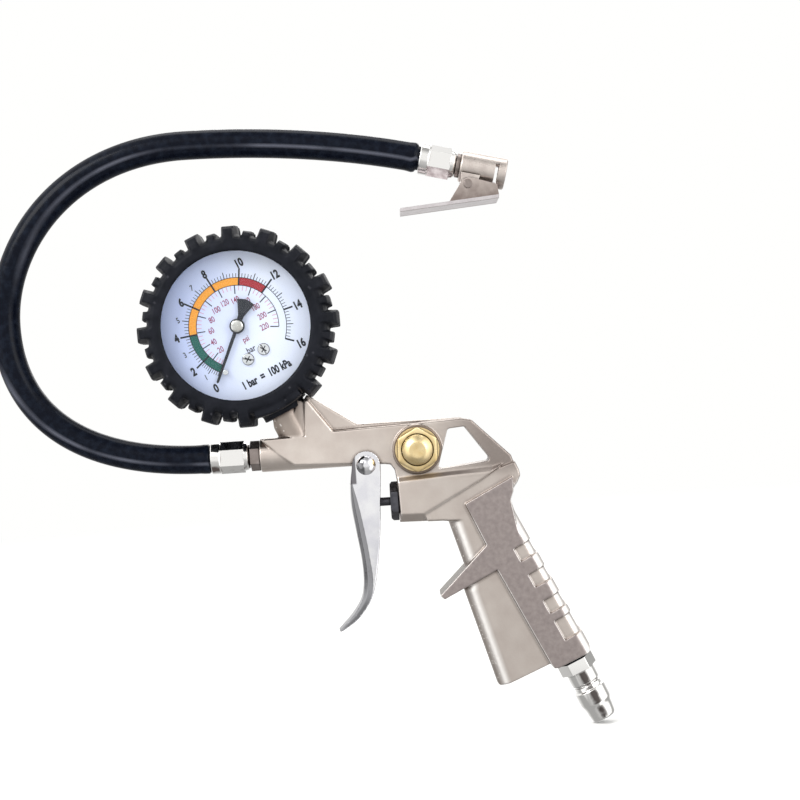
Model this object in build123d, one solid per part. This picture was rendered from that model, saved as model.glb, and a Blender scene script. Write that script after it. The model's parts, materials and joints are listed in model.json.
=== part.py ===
from build123d import *
import math
import os

# Tyre inflator with gauge: die-cast gun, rubber-booted dial gauge, hose and clip-on chuck.
# The gun stands upright in the XZ plane: +X runs from the hose port to the grip, +Z is up,
# and the gauge faces -Y.  Everything is drawn from the centre of the hose port's face and moved
# at export, so that the origin is the centre of the air inlet plug's sealing land.

# ---------------------------------------------------------------- driving dimensions (mm)
running_gap = 0.05              # radial gap of parts that turn or slide in one another
seat_gap = 0.02                 # gap between parts that are screwed, pressed or bonded together

# gun casting
barrel_radius = 6.4
barrel_length = 50.0
web_half = 4.0                  # half thicknesses, measured from the middle plane
plate_half = 6.7
shoulder_half = 7.4
housing_half = 8.0
panel_half = 8.8
edge_bevel = 0.5
port_radius = 5.0               # hose port and valve chamber thread
channel_radius = 2.3
notch_depth = 0.8
through = 12.0                  # half length of a cut right through the gun

# trigger valve
valve_z = -20.8
housing_face_x = 51.6
chamber_end_x = 88.0
seat_face_x = 67.0
stem_radius = 1.65
stem_tip_x = 35.43

# trigger
trigger_pivot = (40.3, -6.0)
trigger_ear_radius = 5.3
trigger_inner_half = 7.0
trigger_outer_half = 8.8
trigger_wall = 1.8
rivet_radius = 2.0
rivet_head_radius = 3.7

# pressure release valve
bleed_x = 60.1
bleed_z = -1.3
bleed_pad_radius = 9.3
bleed_pad_y = 7.5               # distance of the pad's face from the middle plane
bleed_nut_flats = 14.0
bleed_cap_radius = 5.75
bleed_stem_radius = 1.25
bleed_cap_floor = 11.2          # rest height of the button's underside above the middle plane
bleed_spring_floor = 6.5

# air inlet plug, on a line leaning back from the upright
grip_lean = 24.0
inlet_end = (114.6, -85.1)
inlet_thread_radius = 4.9
land_radius = 6.0
land_start = 13.7
land_length = 5.0

# hose
hose_radius = 5.5
hose_bore_radius = 3.0
hose_crimped_radius = 4.6

# clip-on chuck
chuck_mouth = (101.0, 101.7)
chuck_fall = 14.4               # slope of the chuck's axis below the level
chuck_radius = 6.0
chuck_length = 17.7
chuck_bore_radius = 4.2
chuck_seal_face = 6.0           # from the mouth
chuck_seal_radius = 4.6
chuck_pin_back = 13.66          # from the mouth
chuck_pin_drop = 7.12           # below the axis
chuck_pin_radius = 1.25
lever_ear_inner = 6.4
lever_ear_outer = 7.3
lever_half_width = 7.9
toe_near = 3.46                 # faces of the lever's toe, back from the mouth
toe_far = 4.26
spring_leg_slope = -60.0        # fall of the spring's lower leg, in degrees

# free curve of the hose: place, direction in degrees, handle before and handle after each knot
hose_knots = (((-20.0, 0.0), 180.0, 0.0, 48.0), ((-94.7, 56.5), 90.0, 36.0, 30.0),
              ((-22.0, 121.0), 0.0, 47.0, 30.0), ((67.1, 110.4), -chuck_fall, 28.0, 0.0))

# gauge; the gauge's own frame has its stem pointing straight down
gauge_centre = (-4.4, 49.5)
case_radius = 31.0
case_wall = 0.9
case_back_y = 9.5
case_front_y = -17.4
window_radius = 27.8
dial_radius = 29.3
dial_front_y = -12.0
dial_thickness = 0.58
pointer_length = 22.8
pointer_sweep = 266.0           # from 0 bar to full scale
dial_screw_circle = 13.0
dial_screw_angles = (-100.0, -69.0)
stop_pin_circle = 17.9
boot_bore_radius = 32.0
boot_valley_radius = 34.0
boot_saddle_radius = 35.8
big_lug_radius = 38.5
small_lug_radius = 36.5
lug_count = 16
stem_face = 36.5                # from the dial's centre to the neck of the gun

# gauge movement
gear_module = 0.25
pinion_teeth = 12
sector_full_teeth = 96
pressure_angle = 20.0
gear_ratio = sector_full_teeth / pinion_teeth
gear_centres = gear_module * (pinion_teeth + sector_full_teeth) / 2
tail_radius = 3.2               # link pin from the sector's arbor
tube_mean_radius = 20.0
tube_end_angle = -24.0
pinion_arbor_radius = 0.6
sector_arbor_radius = 0.8
link_pin_radius = 0.4
link_eye_half = 0.46            # half width of the slots at both ends of the link
front_plate_y = (-10.6, -9.6)
back_plate_y = (-4.6, -3.6)
pillar_end_radius = 0.8
pillar_places = ((-6.5, 5.5), (-6.5, -5.5), (9.5, -7.0))
movement_screw_places = ((-8.7, -11.0), (8.7, -11.0))
case_screw_places = ((-7.5, -9.5), (7.5, -9.5))
link_lower_end = (16.63, -9.0)

# ---------------------------------------------------------------- working frames
lean_sin = math.sin(math.radians(grip_lean))
lean_cos = math.cos(math.radians(grip_lean))
fall_sin = math.sin(math.radians(chuck_fall))
fall_cos = math.cos(math.radians(chuck_fall))

BARREL = Plane(origin=(0, 0, 0), x_dir=(0, 0, 1), z_dir=(1, 0, 0))
VALVE = Plane(origin=(0, 0, valve_z), x_dir=(0, 0, 1), z_dir=(1, 0, 0))
BLEED = Plane(origin=(bleed_x, 0, bleed_z), x_dir=(0, 0, 1), z_dir=(0, -1, 0))
INLET = Plane(origin=(inlet_end[0], 0, inlet_end[1]), x_dir=(lean_cos, 0, lean_sin),
              z_dir=(lean_sin, 0, -lean_cos))
CHUCK = Plane(origin=(chuck_mouth[0], 0, chuck_mouth[1]), x_dir=(fall_sin, 0, fall_cos),
              z_dir=(fall_cos, 0, -fall_sin))
GAUGE = Location((gauge_centre[0], 0, gauge_centre[1]), (0, -grip_lean, 0))
STEM = Plane(origin=(0, 0, 0), x_dir=(1, 0, 0), z_dir=(0, 0, -1))      # down the gauge's stem, gauge frame

land_middle = land_start + land_length / 2
row_origin = (inlet_end[0] + land_middle * lean_sin, 0, inlet_end[1] - land_middle * lean_cos)


# ---------------------------------------------------------------- shape helpers
def outline(points):
    """Flat face in local X and Y from corner points."""
    return make_face(Polyline(*points, close=True))


def prism(points, low, high):
    """Solid with an XZ outline between two Y stations."""
    return extrude(Plane.XZ.offset(-high) * outline(points), amount=high - low)


def plate(points, half, bevel=0.0):
    """Prism centred on the middle plane, with its two rims bevelled."""
    solid = prism(points, -half, half)
    if bevel:
        sides = solid.faces().sort_by(Axis.Y)
        solid = chamfer(sides[0].edges() + sides[-1].edges(), bevel)
    return solid


def disc(frame, radius, low, high):
    """Cylinder along a frame's Z between two stations."""
    bottom = (Align.CENTER, Align.CENTER, Align.MIN)
    return frame * Pos(0, 0, low) * Cylinder(radius, high - low, align=bottom)


def ring(frame, outer, inner, low, high):
    return disc(frame, outer, low, high) - disc(frame, inner, low - 1, high + 1)


def turned(frame, profile):
    """Solid of revolution about a frame's Z from (station, radius) pairs."""
    face = Plane.XZ * outline([(radius, station) for station, radius in profile])
    return frame * revolve(face, Axis.Z)


def hexagon(frame, flats, low, high):
    section = RegularPolygon(flats / 2, 6, major_radius=False)
    return frame * Pos(0, 0, low) * extrude(section, amount=high - low)


def coil(frame, radius, wire_radius, low, high, turns):
    """Open coil spring along a frame's Z."""
    length = high - low
    path = Helix(pitch=length / turns, height=length, radius=radius)
    section = Plane(origin=path @ 0, z_dir=path % 0) * Circle(wire_radius)
    return frame * Pos(0, 0, low) * sweep(section, path=path, is_frenet=True)


def y_disc(x, z, radius, low, high):
    """Cylinder across the gun or gauge between two Y stations."""
    return disc(Plane(origin=(x, 0, z), x_dir=(1, 0, 0), z_dir=(0, 1, 0)), radius, low, high)


def polar(radius, degrees):
    angle = math.radians(degrees)
    return (radius * math.cos(angle), radius * math.sin(angle))


def chuck_point(back, drop):
    """XZ point at a distance back from the chuck's mouth and below its axis."""
    return (chuck_mouth[0] - back * fall_cos - drop * fall_sin,
            chuck_mouth[1] + back * fall_sin - drop * fall_cos)


def in_plane(point):
    """Vector on the middle plane from an XZ pair."""
    return Vector(point[0], 0, point[1])


# ---------------------------------------------------------------- gun casting
back_top = (94.7, -25.2)
back_foot = (119.7, -77.4)


def side_plate():
    """Flat-sided plate over the barrel, round the window and back to the heel of the hand."""
    return plate([(0.6, 6.3), (17.6, 6.6), (18.1, 20.6), (19.6, 20.0), (28.5, 7.8), (59.1, 8.6),
                  (77.4, 9.4), (81.4, 8.6), (95.6, -5.8), (97.6, -12.4), (90.0, -14.0), (51.7, -14.0),
                  (51.6, -12.9), (51.0, -8.6), (49.6, -6.5), (46.0, -6.0), (32.1, -5.3), (13.1, -4.5),
                  (7.3, -0.3)], plate_half, edge_bevel)


def wedge_web():
    """Thin web that runs from the gauge neck down to the top of the plate."""
    return plate([(10.0, 3.0), (15.0, 17.6), (16.9, 18.8), (19.2, 22.2), (37.6, 9.7), (77.6, 9.7),
                  (79.8, 8.0), (59.2, 3.0)], web_half, edge_bevel)


def valve_housing():
    """Housing round the valve chamber, with a sloped band above and below its flat face."""
    face = [(52.0, -13.5), (72.1, -12.3), (87.1, -11.8), (90.5, -10.3), (83.9, -13.9), (60.8, -25.8),
            (52.4, -25.6)]
    rim = [(51.6, -8.9), (72.1, -7.7), (90.0, -6.4), (95.5, -5.9), (86.5, -15.5), (64.5, -29.0),
           (51.7, -28.7)]
    rim_half = 5.2
    halves = []
    for side in (-1, 1):
        wide = Plane.XZ.offset(-side * rim_half) * outline(rim)
        flat = Plane.XZ.offset(-side * housing_half) * outline(face)
        halves.append(loft([wide, flat], ruled=True))
    return prism(rim, -rim_half, rim_half) + halves[0] + halves[1]


def shoulder():
    """Surface below the diagonal edge that joins housing, heel and grip."""
    return plate([(60.8, -25.8), (83.9, -13.9), (90.5, -10.2), (96.8, -8.2), (98.2, -11.5), (98.6, -13.7),
                  (97.3, -16.3), (95.2, -19.2), (94.3, -22.6), (95.4, -26.8), (90.0, -40.0), (81.0, -40.0),
                  (77.6, -29.6), (70.3, -29.4), (67.8, -29.1), (62.2, -29.0)], shoulder_half, edge_bevel)


def grip_section(z, front_x):
    """Rounded grip section at a height: broad radius at the front, smaller one at the back."""
    back_x = back_top[0] + (z - back_top[1]) * (back_foot[0] - back_top[0]) / (back_foot[1] - back_top[1])
    block = Pos((front_x + back_x) / 2, 0) * Rectangle(back_x - front_x, 2 * shoulder_half)
    block = fillet(block.vertices().sort_by(Axis.X)[:2], 6.0)
    block = fillet(block.vertices().sort_by(Axis.X)[-2:], 3.9)
    return Plane.XY.offset(z) * block


def grip_core():
    upper = loft([grip_section(-28.0, 69.8), grip_section(-47.0, 75.3)], ruled=True)
    behind_spur = loft([grip_section(-47.0, 75.3), grip_section(-56.3, 74.5)], ruled=True)
    lower = loft([grip_section(-56.3, 74.5), grip_section(-96.0, 85.9)], ruled=True)
    kept = prism([(66.0, -28.0), (97.0, -28.0), (121.5, -77.0), (120.8, -80.2), (120.3, -82.4),
                  (108.2, -87.7), (106.5, -87.7), (105.3, -86.0), (89.7, -92.4), (85.8, -93.6),
                  (84.6, -92.4), (66.0, -56.0)], -through, through)
    return (upper + behind_spur + lower) & kept


def grip_panel(half, inset, corner):
    """Raised side panel with the finger spur, rounded into the back of the grip."""
    shift = inset * math.cos(math.atan2(back_foot[0] - back_top[0], back_top[1] - back_foot[1]))
    solid = prism([(95.4, -14.0), (76.9, -23.2), (83.9, -39.3), (65.1, -57.4), (66.7, -58.9), (87.4, -48.9),
                   (105.3, -85.9), (106.5, -87.7), (108.4, -87.6), (120.3 - shift, -82.5),
                   (120.7 - shift, -80.2), (back_foot[0] - shift, back_foot[1]),
                   (back_top[0] - shift, back_top[1]), (94.3 - shift, -22.6), (95.6 - shift, -19.2)],
                  -half, half)
    long_edges = solid.edges().filter_by(GeomType.LINE)
    rims = [edge for edge in long_edges if 50.0 < edge.length < 62.0 and abs(edge.center().Y) > half - 0.1]
    rims = [edge for edge in rims if edge.center().X > 104.0]
    return fillet(rims, corner)


def grip_notches():
    """Four finger notches let into both sides and the back of the grip."""
    run = math.hypot(back_foot[0] - back_top[0], back_foot[1] - back_top[1])
    along = ((back_foot[0] - back_top[0]) / run, (back_foot[1] - back_top[1]) / run)
    outward = (-along[1], along[0])
    first = (94.1, -41.4)
    reach = 14.0
    shell = None
    for start, length in ((0.0, 5.6), (11.2, 5.6), (22.6, 5.6), (31.4, 8.4)):
        near = (first[0] + start * along[0], first[1] + start * along[1])
        far = (near[0] + length * along[0], near[1] + length * along[1])
        block = prism([near, far, (far[0] + reach * outward[0], far[1] + reach * outward[1]),
                       (near[0] + reach * outward[0], near[1] + reach * outward[1])], -through, through)
        shell = block if shell is None else shell + block
    return shell - grip_panel(panel_half - notch_depth, notch_depth, 3.3)


def gauge_neck():
    """Round boss that takes the gauge's stem, cut upright at the front."""
    neck = GAUGE * disc(STEM, 6.7, stem_face, stem_face + 18.0)
    return neck & prism([(5.8, 2.0), (40.0, 2.0), (40.0, 30.0), (5.8, 30.0)], -through, through)


def gun_passages():
    """Every bore in the casting: ports, chamber, air channels, release pocket and rivet hole."""
    bores = disc(BARREL, port_radius, -1.0, 8.0)
    bores += disc(BARREL, channel_radius, 7.0, bleed_x - 2.0)
    bores += disc(VALVE, port_radius, housing_face_x - 3.0, chamber_end_x)
    bores += disc(INLET, 3.4, -71.0, -8.0)
    bores += disc(INLET, inlet_thread_radius + seat_gap, -10.0, 3.0)
    bores += disc(Plane(origin=(bleed_x, 0, 0)), channel_radius, valve_z + 2.0, bleed_z - 3.0)
    bores += disc(BLEED, port_radius, -3.5, 12.0)
    bores += GAUGE * disc(STEM, 4.0, stem_face - 1.0, stem_face + 8.5)
    bores += GAUGE * disc(STEM, 1.8, stem_face + 7.0, stem_face + 19.0)
    bores += y_disc(*trigger_pivot, rivet_radius + seat_gap, -through, through)
    return bores


def make_gun_body():
    window = prism([(72.1, 5.7), (78.6, 6.2), (88.2, -7.4), (67.4, -9.6)], -through, through)
    window = fillet(window.edges().filter_by(Axis.Y), 1.1)
    release_pad = disc(BLEED, bleed_pad_radius, 0.0, bleed_pad_y)
    casting = disc(BARREL, barrel_radius, 0.0, barrel_length) + side_plate() + wedge_web() + gauge_neck()
    casting += valve_housing() + shoulder() + grip_core() + grip_panel(panel_half, 0.0, 3.9) + release_pad
    casting -= window
    casting -= grip_notches()
    return casting - gun_passages()


# ---------------------------------------------------------------- trigger valve
def make_gland_nut():
    nut = hexagon(VALVE, 13.0, housing_face_x - 3.0, housing_face_x - seat_gap)
    rim = turned(VALVE, [(housing_face_x - 3.2, 0), (housing_face_x - 3.2, 6.4), (housing_face_x - 1.8, 7.9),
                         (housing_face_x + 1.0, 7.9), (housing_face_x + 1.0, 0)])
    spigot = disc(VALVE, port_radius - seat_gap, housing_face_x - 1.0, 57.0)
    groove = ring(VALVE, 3.2, 1.0, 54.0, 55.7)
    return (nut & rim) + spigot - disc(VALVE, stem_radius + running_gap, 40.0, 60.0) - groove


def make_stem_o_ring():
    inner = stem_radius + seat_gap
    seal = turned(VALVE, [(54.05, inner), (54.05, 3.1), (55.65, 3.1), (55.65, inner)])
    rounded = seal.edges().filter_by(GeomType.CIRCLE).filter_by(lambda edge: edge.radius > 3.0)
    return fillet(rounded, 0.6)


def make_valve_seat():
    """Brass cage between gland nut and poppet, with four side ports and the seat at its end."""
    sleeve = turned(VALVE, [(57.05, 3.4), (57.05, 4.98), (58.6, 4.98), (59.0, 4.3), (63.0, 4.3), (63.4, 4.98),
                            (seat_face_x - 0.8, 4.98), (seat_face_x - 0.8, 3.7), (seat_face_x, 3.3),
                            (seat_face_x, 2.7), (64.5, 2.7), (64.5, 3.4)])
    for quarter in range(2):
        cross = VALVE * Pos(0, 0, 61.0) * Rot(90, 0, 90 * quarter) * Cylinder(1.5, 14.0)
        sleeve -= cross
    return sleeve


def make_valve_stem():
    """Rod with a domed nose for the trigger, a waist through the seat and a shank for the poppet."""
    nose = 1.9
    dome = VALVE * Pos(0, 0, stem_tip_x + nose) * Sphere(nose)
    rod = disc(VALVE, stem_radius, stem_tip_x, 64.2)
    tip = rod & (dome + disc(VALVE, stem_radius, stem_tip_x + nose, 64.2))
    return tip + disc(VALVE, 1.2, 64.0, 71.5)


def make_poppet():
    """Disc that carries the seal, with a tail that centres the spring."""
    poppet = turned(VALVE, [(68.0, 0), (68.0, 4.0), (69.4, 4.0), (69.4, 2.4), (74.0, 2.4), (74.6, 1.8),
                            (74.6, 0)])
    return poppet - disc(VALVE, 1.2 + seat_gap, 60.0, 71.6)


def make_poppet_seal():
    return ring(VALVE, 3.8, 1.2 + seat_gap, seat_face_x + seat_gap, 68.0 - seat_gap)


def make_valve_spring():
    return coil(VALVE, 3.3, 0.4, 69.4 + 0.45, chamber_end_x - 0.45, 9)


# ---------------------------------------------------------------- trigger
def trigger_station(front, back, half, front_half, wall=0.0):
    """Section of the trigger channel from its front face to the back edge of its sides."""
    length = math.dist(front, back)
    along = ((back[0] - front[0]) / length, 0, (back[1] - front[1]) / length)
    frame = Plane(origin=(front[0], 0, front[1]), x_dir=along, z_dir=(-along[2], 0, along[0]))
    crease = min(0.36 * length, 3.4)
    if wall:
        length += 3.0
        crease += 0.5 * wall
        half -= wall
        front_half -= 0.6 * wall
    return frame * outline([(wall, -front_half), (crease, -half), (length, -half),
                            (length, half), (crease, half), (wall, front_half)])


def make_trigger():
    """Pressed channel lever, wide at the rivet and curling forward to a narrow tip."""
    stations = [((33.5, -13.0), (45.3, -12.2), 8.8, 6.6), ((33.4, -20.8), (44.5, -20.8), 8.7, 6.4),
                ((34.4, -31.0), (43.6, -31.0), 8.2, 5.8), ((35.6, -42.0), (42.2, -42.6), 7.5, 5.2),
                ((35.6, -51.0), (40.3, -52.0), 6.8, 4.8), ((33.9, -57.6), (37.6, -58.8), 6.3, 4.7),
                ((30.7, -63.3), (33.2, -65.0), 5.7, 4.6), ((26.4, -68.0), (27.8, -69.6), 4.8, 4.2)]
    blade = loft([trigger_station(*station) for station in stations])
    hollow = loft([trigger_station(*station, wall=trigger_wall) for station in stations[:6]])
    px, pz = trigger_pivot
    radius = trigger_ear_radius
    ears = y_disc(px, pz, radius, -trigger_outer_half, trigger_outer_half)
    ears += prism([(px - radius, pz), (px + radius, pz), (45.3, -14.5), (34.2, -14.5), (33.9, -10.2)],
                  -trigger_outer_half, trigger_outer_half)
    throat = y_disc(px, pz, radius + 4.0, -trigger_inner_half, trigger_inner_half)
    throat += prism([(30.0, pz), (50.0, pz), (50.0, -24.0), (36.8, -24.0), (35.2, -20.8), (35.2, -15.5),
                     (30.0, -12.4)], -trigger_inner_half, trigger_inner_half)
    pad = prism([(33.9, -24.2), (33.9, -15.4), (35.35, -15.4), (35.35, -24.2)], -4.0, 4.0)
    solid = (blade + ears) - hollow - throat + pad
    return solid - y_disc(px, pz, rivet_radius + running_gap, -through, through)


def make_trigger_pin():
    """Rivet through ears and barrel: domed head towards the gauge's face side, flat clinch behind."""
    px, pz = trigger_pivot
    seat = trigger_outer_half + running_gap
    shank = y_disc(px, pz, rivet_radius, -seat - 0.5, seat + 0.5)
    dome_rise = 2.3
    sphere_radius = (rivet_head_radius ** 2 + dome_rise ** 2) / (2 * dome_rise)
    ball = Pos(px, -seat - dome_rise + sphere_radius, pz) * Sphere(sphere_radius)
    head = ball & y_disc(px, pz, rivet_head_radius, -seat - dome_rise, -seat)
    return shank + head + y_disc(px, pz, 3.1, seat, seat + 1.0)


# ---------------------------------------------------------------- pressure release valve
def make_bleed_nut():
    face = bleed_pad_y + seat_gap
    nut = ring(BLEED, 8.4, 2.0, face, face + 1.0) + hexagon(BLEED, bleed_nut_flats, face + 0.5, face + 5.4)
    nut = nut & turned(BLEED, [(0, 0), (0, 8.4), (face + 4.2, 8.4), (face + 5.5, 7.0), (face + 5.5, 0)])
    nut += disc(BLEED, port_radius - seat_gap, 2.2, face + 0.5)
    nut -= disc(BLEED, bleed_cap_radius + running_gap, face + 1.4, 20.0)
    return nut - disc(BLEED, 1.7, 0.0, 20.0) - disc(BLEED, 2.6, bleed_spring_floor, 20.0)


def make_bleed_button():
    """Domed cap with a shallow dish in its crown."""
    low = bleed_cap_floor
    shoulder_height = 14.4
    top = 16.9
    rise = top - shoulder_height
    sphere_radius = (bleed_cap_radius ** 2 + rise ** 2) / (2 * rise)
    ball = BLEED * Pos(0, 0, top - sphere_radius) * Sphere(sphere_radius)
    cap = disc(BLEED, bleed_cap_radius, low, shoulder_height)
    cap += ball & disc(BLEED, bleed_cap_radius, shoulder_height, top)
    dish = BLEED * Pos(0, 0, top + 5.6) * Sphere(6.0)
    return cap - dish - disc(BLEED, bleed_stem_radius + seat_gap, low - 1, low + 2.6)


def make_bleed_stem():
    return disc(BLEED, bleed_stem_radius, -0.1, 13.7) + disc(BLEED, 2.4, -0.1, 0.8)


def make_bleed_seal():
    return ring(BLEED, 3.3, bleed_stem_radius + seat_gap, 0.82, 2.18)


def make_bleed_spring():
    return coil(BLEED, 1.95, 0.22, bleed_spring_floor + 0.24, bleed_cap_floor - 0.24, 5)


# ---------------------------------------------------------------- air inlet
def make_inlet_plug():
    """Quick-coupling plug: thread, hexagon, collar, neck, sealing land and tapered nose."""
    washer = 0.9
    hexed = hexagon(INLET, 12.6, washer, 5.5)
    land_end = land_start + land_length
    body = turned(INLET, [(-9.0, 0), (-9.0, inlet_thread_radius), (washer, inlet_thread_radius),
                          (washer, 5.4), (5.4, 5.4), (5.4, 5.5), (10.5, 5.5), (10.7, 5.3), (10.7, 4.7),
                          (11.7, 4.7), (11.7, 5.2), (13.3, 5.2), (land_start, land_radius),
                          (land_end, land_radius), (20.6, 5.3), (25.2, 4.8), (26.0, 4.3), (26.0, 0)])
    return hexed + body - disc(INLET, 2.8, -10.0, 27.0)


def make_inlet_washer():
    return ring(INLET, 6.1, inlet_thread_radius + seat_gap, seat_gap, 0.9 - seat_gap)


# ---------------------------------------------------------------- hose and its fittings
def make_hose():
    """Rubber hose: straight in both ferrules, one free curve between them."""
    start = in_plane((-5.2, 0.0))
    end = in_plane(chuck_point(20.6, 0.0))
    pieces = [Line(start, in_plane(hose_knots[0][0])).edge()]
    for knot, following in zip(hose_knots, hose_knots[1:]):
        first, first_heading, _, reach_out = knot
        last, last_heading, reach_in, _ = following
        leave = in_plane(polar(reach_out, first_heading))
        arrive = in_plane(polar(reach_in, last_heading))
        first = in_plane(first)
        last = in_plane(last)
        pieces.append(Bezier(first, first + leave, last - arrive, last).edge())
    pieces.append(Line(in_plane(hose_knots[-1][0]), end).edge())
    section = Plane(origin=start, z_dir=(-1, 0, 0)) * (Circle(hose_radius) - Circle(hose_bore_radius))
    tube = sweep(section, path=Wire(pieces))
    tube -= ring(BARREL, 8.0, hose_crimped_radius, -18.9, 0.0)
    return tube - ring(CHUCK, 8.0, hose_crimped_radius, -34.0, -18.0)


def ferrule(frame, mouth, foot, direction):
    """Crimped ferrule: round ring at its mouth, hexagonal crimp, and a rounded-in foot."""
    def station(distance):
        return mouth + direction * distance
    length = abs(foot - mouth)
    shell = turned(frame, [(station(0), 0), (station(0), 5.8), (station(0.3), 6.0), (station(3.2), 6.0),
                           (station(3.7), 5.7), (station(3.7), 0)])
    low, high = sorted((station(3.4), station(length - 2.0)))
    shell += hexagon(frame, 10.6, low, high)
    shell += turned(frame, [(station(length - 2.2), 0), (station(length - 2.2), 5.5),
                            (station(length - 0.8), 5.2), (station(length), 4.4), (station(length), 0)])
    low, high = sorted((station(-1), station(length - 0.8)))
    shell -= disc(frame, hose_crimped_radius + seat_gap, low, high)
    low, high = sorted((station(-1), station(length + 1)))
    return shell - disc(frame, 3.6, low, high)


def make_gun_hose_ferrule():
    return ferrule(BARREL, -18.9, -4.2, 1)


def make_chuck_hose_ferrule():
    return ferrule(CHUCK, -33.6, -19.6, 1)


def barbed_tail(frame, start, direction):
    """Tail with four shallow barbs that the hose is pushed over."""
    profile = [(start, 0), (start, hose_bore_radius - seat_gap)]
    pitch = 3.0
    for index in range(4):
        begin = start + direction * (0.6 + pitch * index)
        profile += [(begin, 2.5), (begin + direction * pitch * 0.9, hose_bore_radius - seat_gap)]
    end = start + direction * 13.2
    return turned(frame, profile + [(end, 2.3), (end, 0)])


def make_gun_hose_nipple():
    nipple = hexagon(BARREL, 10.0, -3.8, -0.3) + disc(BARREL, port_radius - seat_gap, -0.3, 7.0)
    nipple += disc(BARREL, 3.5, -5.0, -3.6) + barbed_tail(BARREL, -5.0, -1)
    return nipple - disc(BARREL, 1.7, -25.0, 10.0)


def make_chuck_hose_nipple():
    nipple = disc(CHUCK, 4.6, -19.4, -chuck_length - seat_gap) + disc(CHUCK, 4.0, -18.0, -12.0)
    nipple += disc(CHUCK, 3.5, -20.4, -19.0) + barbed_tail(CHUCK, -20.4, -1)
    return nipple - disc(CHUCK, 1.5, -40.0, 0.0)


# ---------------------------------------------------------------- chuck
def chuck_prism(points, low, high):
    """Prism whose outline is given as distances back from the mouth and below the axis."""
    return prism([chuck_point(*point) for point in points], low, high)


def make_chuck_body():
    """Clip-on chuck: valve bore, saw slot for the lever's toe and two lugs for the lever's pin."""
    body = turned(CHUCK, [(0, 0), (0, 5.6), (-0.4, chuck_radius), (-chuck_length + 0.5, chuck_radius),
                          (-chuck_length, 5.5), (-chuck_length, 0)])
    pin_x, pin_z = chuck_point(chuck_pin_back, chuck_pin_drop)
    lug = [(9.6, 3.0), (17.0, 3.0), (16.4, 7.4), (14.9, 9.1), (12.4, 9.1), (10.2, 6.0)]
    body += chuck_prism(lug, -6.2, 6.2)
    spring_half = 3.4
    body -= y_disc(pin_x, pin_z, 2.7, -spring_half, spring_half)
    body -= chuck_prism([(9.0, 6.2), (18.0, 6.2), (18.0, 10.0), (9.0, 10.0)], -spring_half, spring_half)
    body -= chuck_prism([(13.0, 4.6), (18.5, 4.6), (18.5, 7.0), (13.0, 7.0)], 1.0, spring_half)
    body -= y_disc(pin_x, pin_z, chuck_pin_radius + seat_gap, -9.0, 9.0)
    body -= chuck_prism([(3.0, -3.0), (4.4, -3.0), (4.4, 10.0), (3.0, 10.0)], -9.0, 9.0)
    body -= disc(CHUCK, chuck_bore_radius, -chuck_seal_face, 1.0) + disc(CHUCK, 1.5, -12.0, 0.0)
    body -= disc(CHUCK, chuck_seal_radius, -9.0, -chuck_seal_face)
    return body - disc(CHUCK, 4.0 + seat_gap, -18.0, -11.9)


def make_chuck_seal():
    return ring(CHUCK, chuck_seal_radius - seat_gap, 1.6, -9.0 + seat_gap, -chuck_seal_face - seat_gap)


def make_chuck_depressor():
    """Fixed pin that pushes the tyre valve open, held in the passage by a flatted collar."""
    pin = turned(CHUCK, [(-11.3, 0), (-11.3, 0.8), (-11.0, 1.1), (-10.8, 1.48), (-9.3, 1.48), (-9.1, 0.8),
                         (-6.4, 0.8), (-6.1, 0.5), (-6.1, 0)])
    return pin & (CHUCK * Pos(0, 0, -8.0) * Box(2.2, 4.0, 8.0))


def make_chuck_pin():
    pin_x, pin_z = chuck_point(chuck_pin_back, chuck_pin_drop)
    pin = y_disc(pin_x, pin_z, chuck_pin_radius, -8.0, 8.0)
    for side in (-1, 1):
        low, high = sorted((side * (lever_ear_outer + 0.08), side * 8.0))
        pin += y_disc(pin_x, pin_z, 1.7, low, high)
    return pin


def make_chuck_lever():
    """Pressed thumb lever: flat tail, two ears on the pin and the toe that reaches into the slot."""
    tail = prism([(59.5, 90.5), (97.5, 93.3), (97.4, 92.0), (59.6, 89.2)],
                 -lever_half_width, lever_half_width)
    tail = fillet(tail.edges().filter_by(GeomType.LINE).sort_by(Axis.X)[:1], 0.2)
    ear = [(78.3, 91.5), (84.0, 99.8), (86.3, 100.6), (88.6, 100.1), (97.0, 97.3), (97.6, 92.9)]
    lever = tail
    for side in (-1, 1):
        low, high = sorted((side * lever_ear_inner, side * lever_ear_outer))
        lever += prism(ear, low, high)
    toe_half = 3.1
    toe = chuck_prism([(toe_near, 4.25), (toe_far, 4.25), (toe_far, 10.2), (toe_near, 10.6)],
                      -toe_half, toe_half)
    bridge = prism([chuck_point(toe_near, 10.6), chuck_point(toe_near, 9.6), (95.4, 91.9), (95.4, 93.1)],
                   -toe_half, toe_half)
    pin_x, pin_z = chuck_point(chuck_pin_back, chuck_pin_drop)
    return lever + toe + bridge - y_disc(pin_x, pin_z, chuck_pin_radius + running_gap, -9.0, 9.0)


def make_chuck_spring():
    """Torsion spring on the pin: one leg lies under the chuck, the other along the lever's tail."""
    pin_x, pin_z = chuck_point(chuck_pin_back, chuck_pin_drop)
    frame = Plane(origin=(pin_x, 0, pin_z), x_dir=(fall_sin, 0, fall_cos), z_dir=(0, -1, 0))
    wire = 0.32
    radius = 1.85
    half_length = 2.2
    turns = 4 + (chuck_fall - spring_leg_slope) / 360
    spring = coil(frame, radius, wire, -half_length, half_length, turns)
    for side, slope, length in ((1, chuck_fall, 3.4), (-1, spring_leg_slope, 7.6)):
        rise = math.sin(math.radians(slope))
        run = math.cos(math.radians(slope))
        start = (pin_x + radius * rise, side * half_length, pin_z + radius * run)
        spring += disc(Plane(origin=start, z_dir=(-run, 0, rise)), wire, 0.0, length)
    return spring


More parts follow.
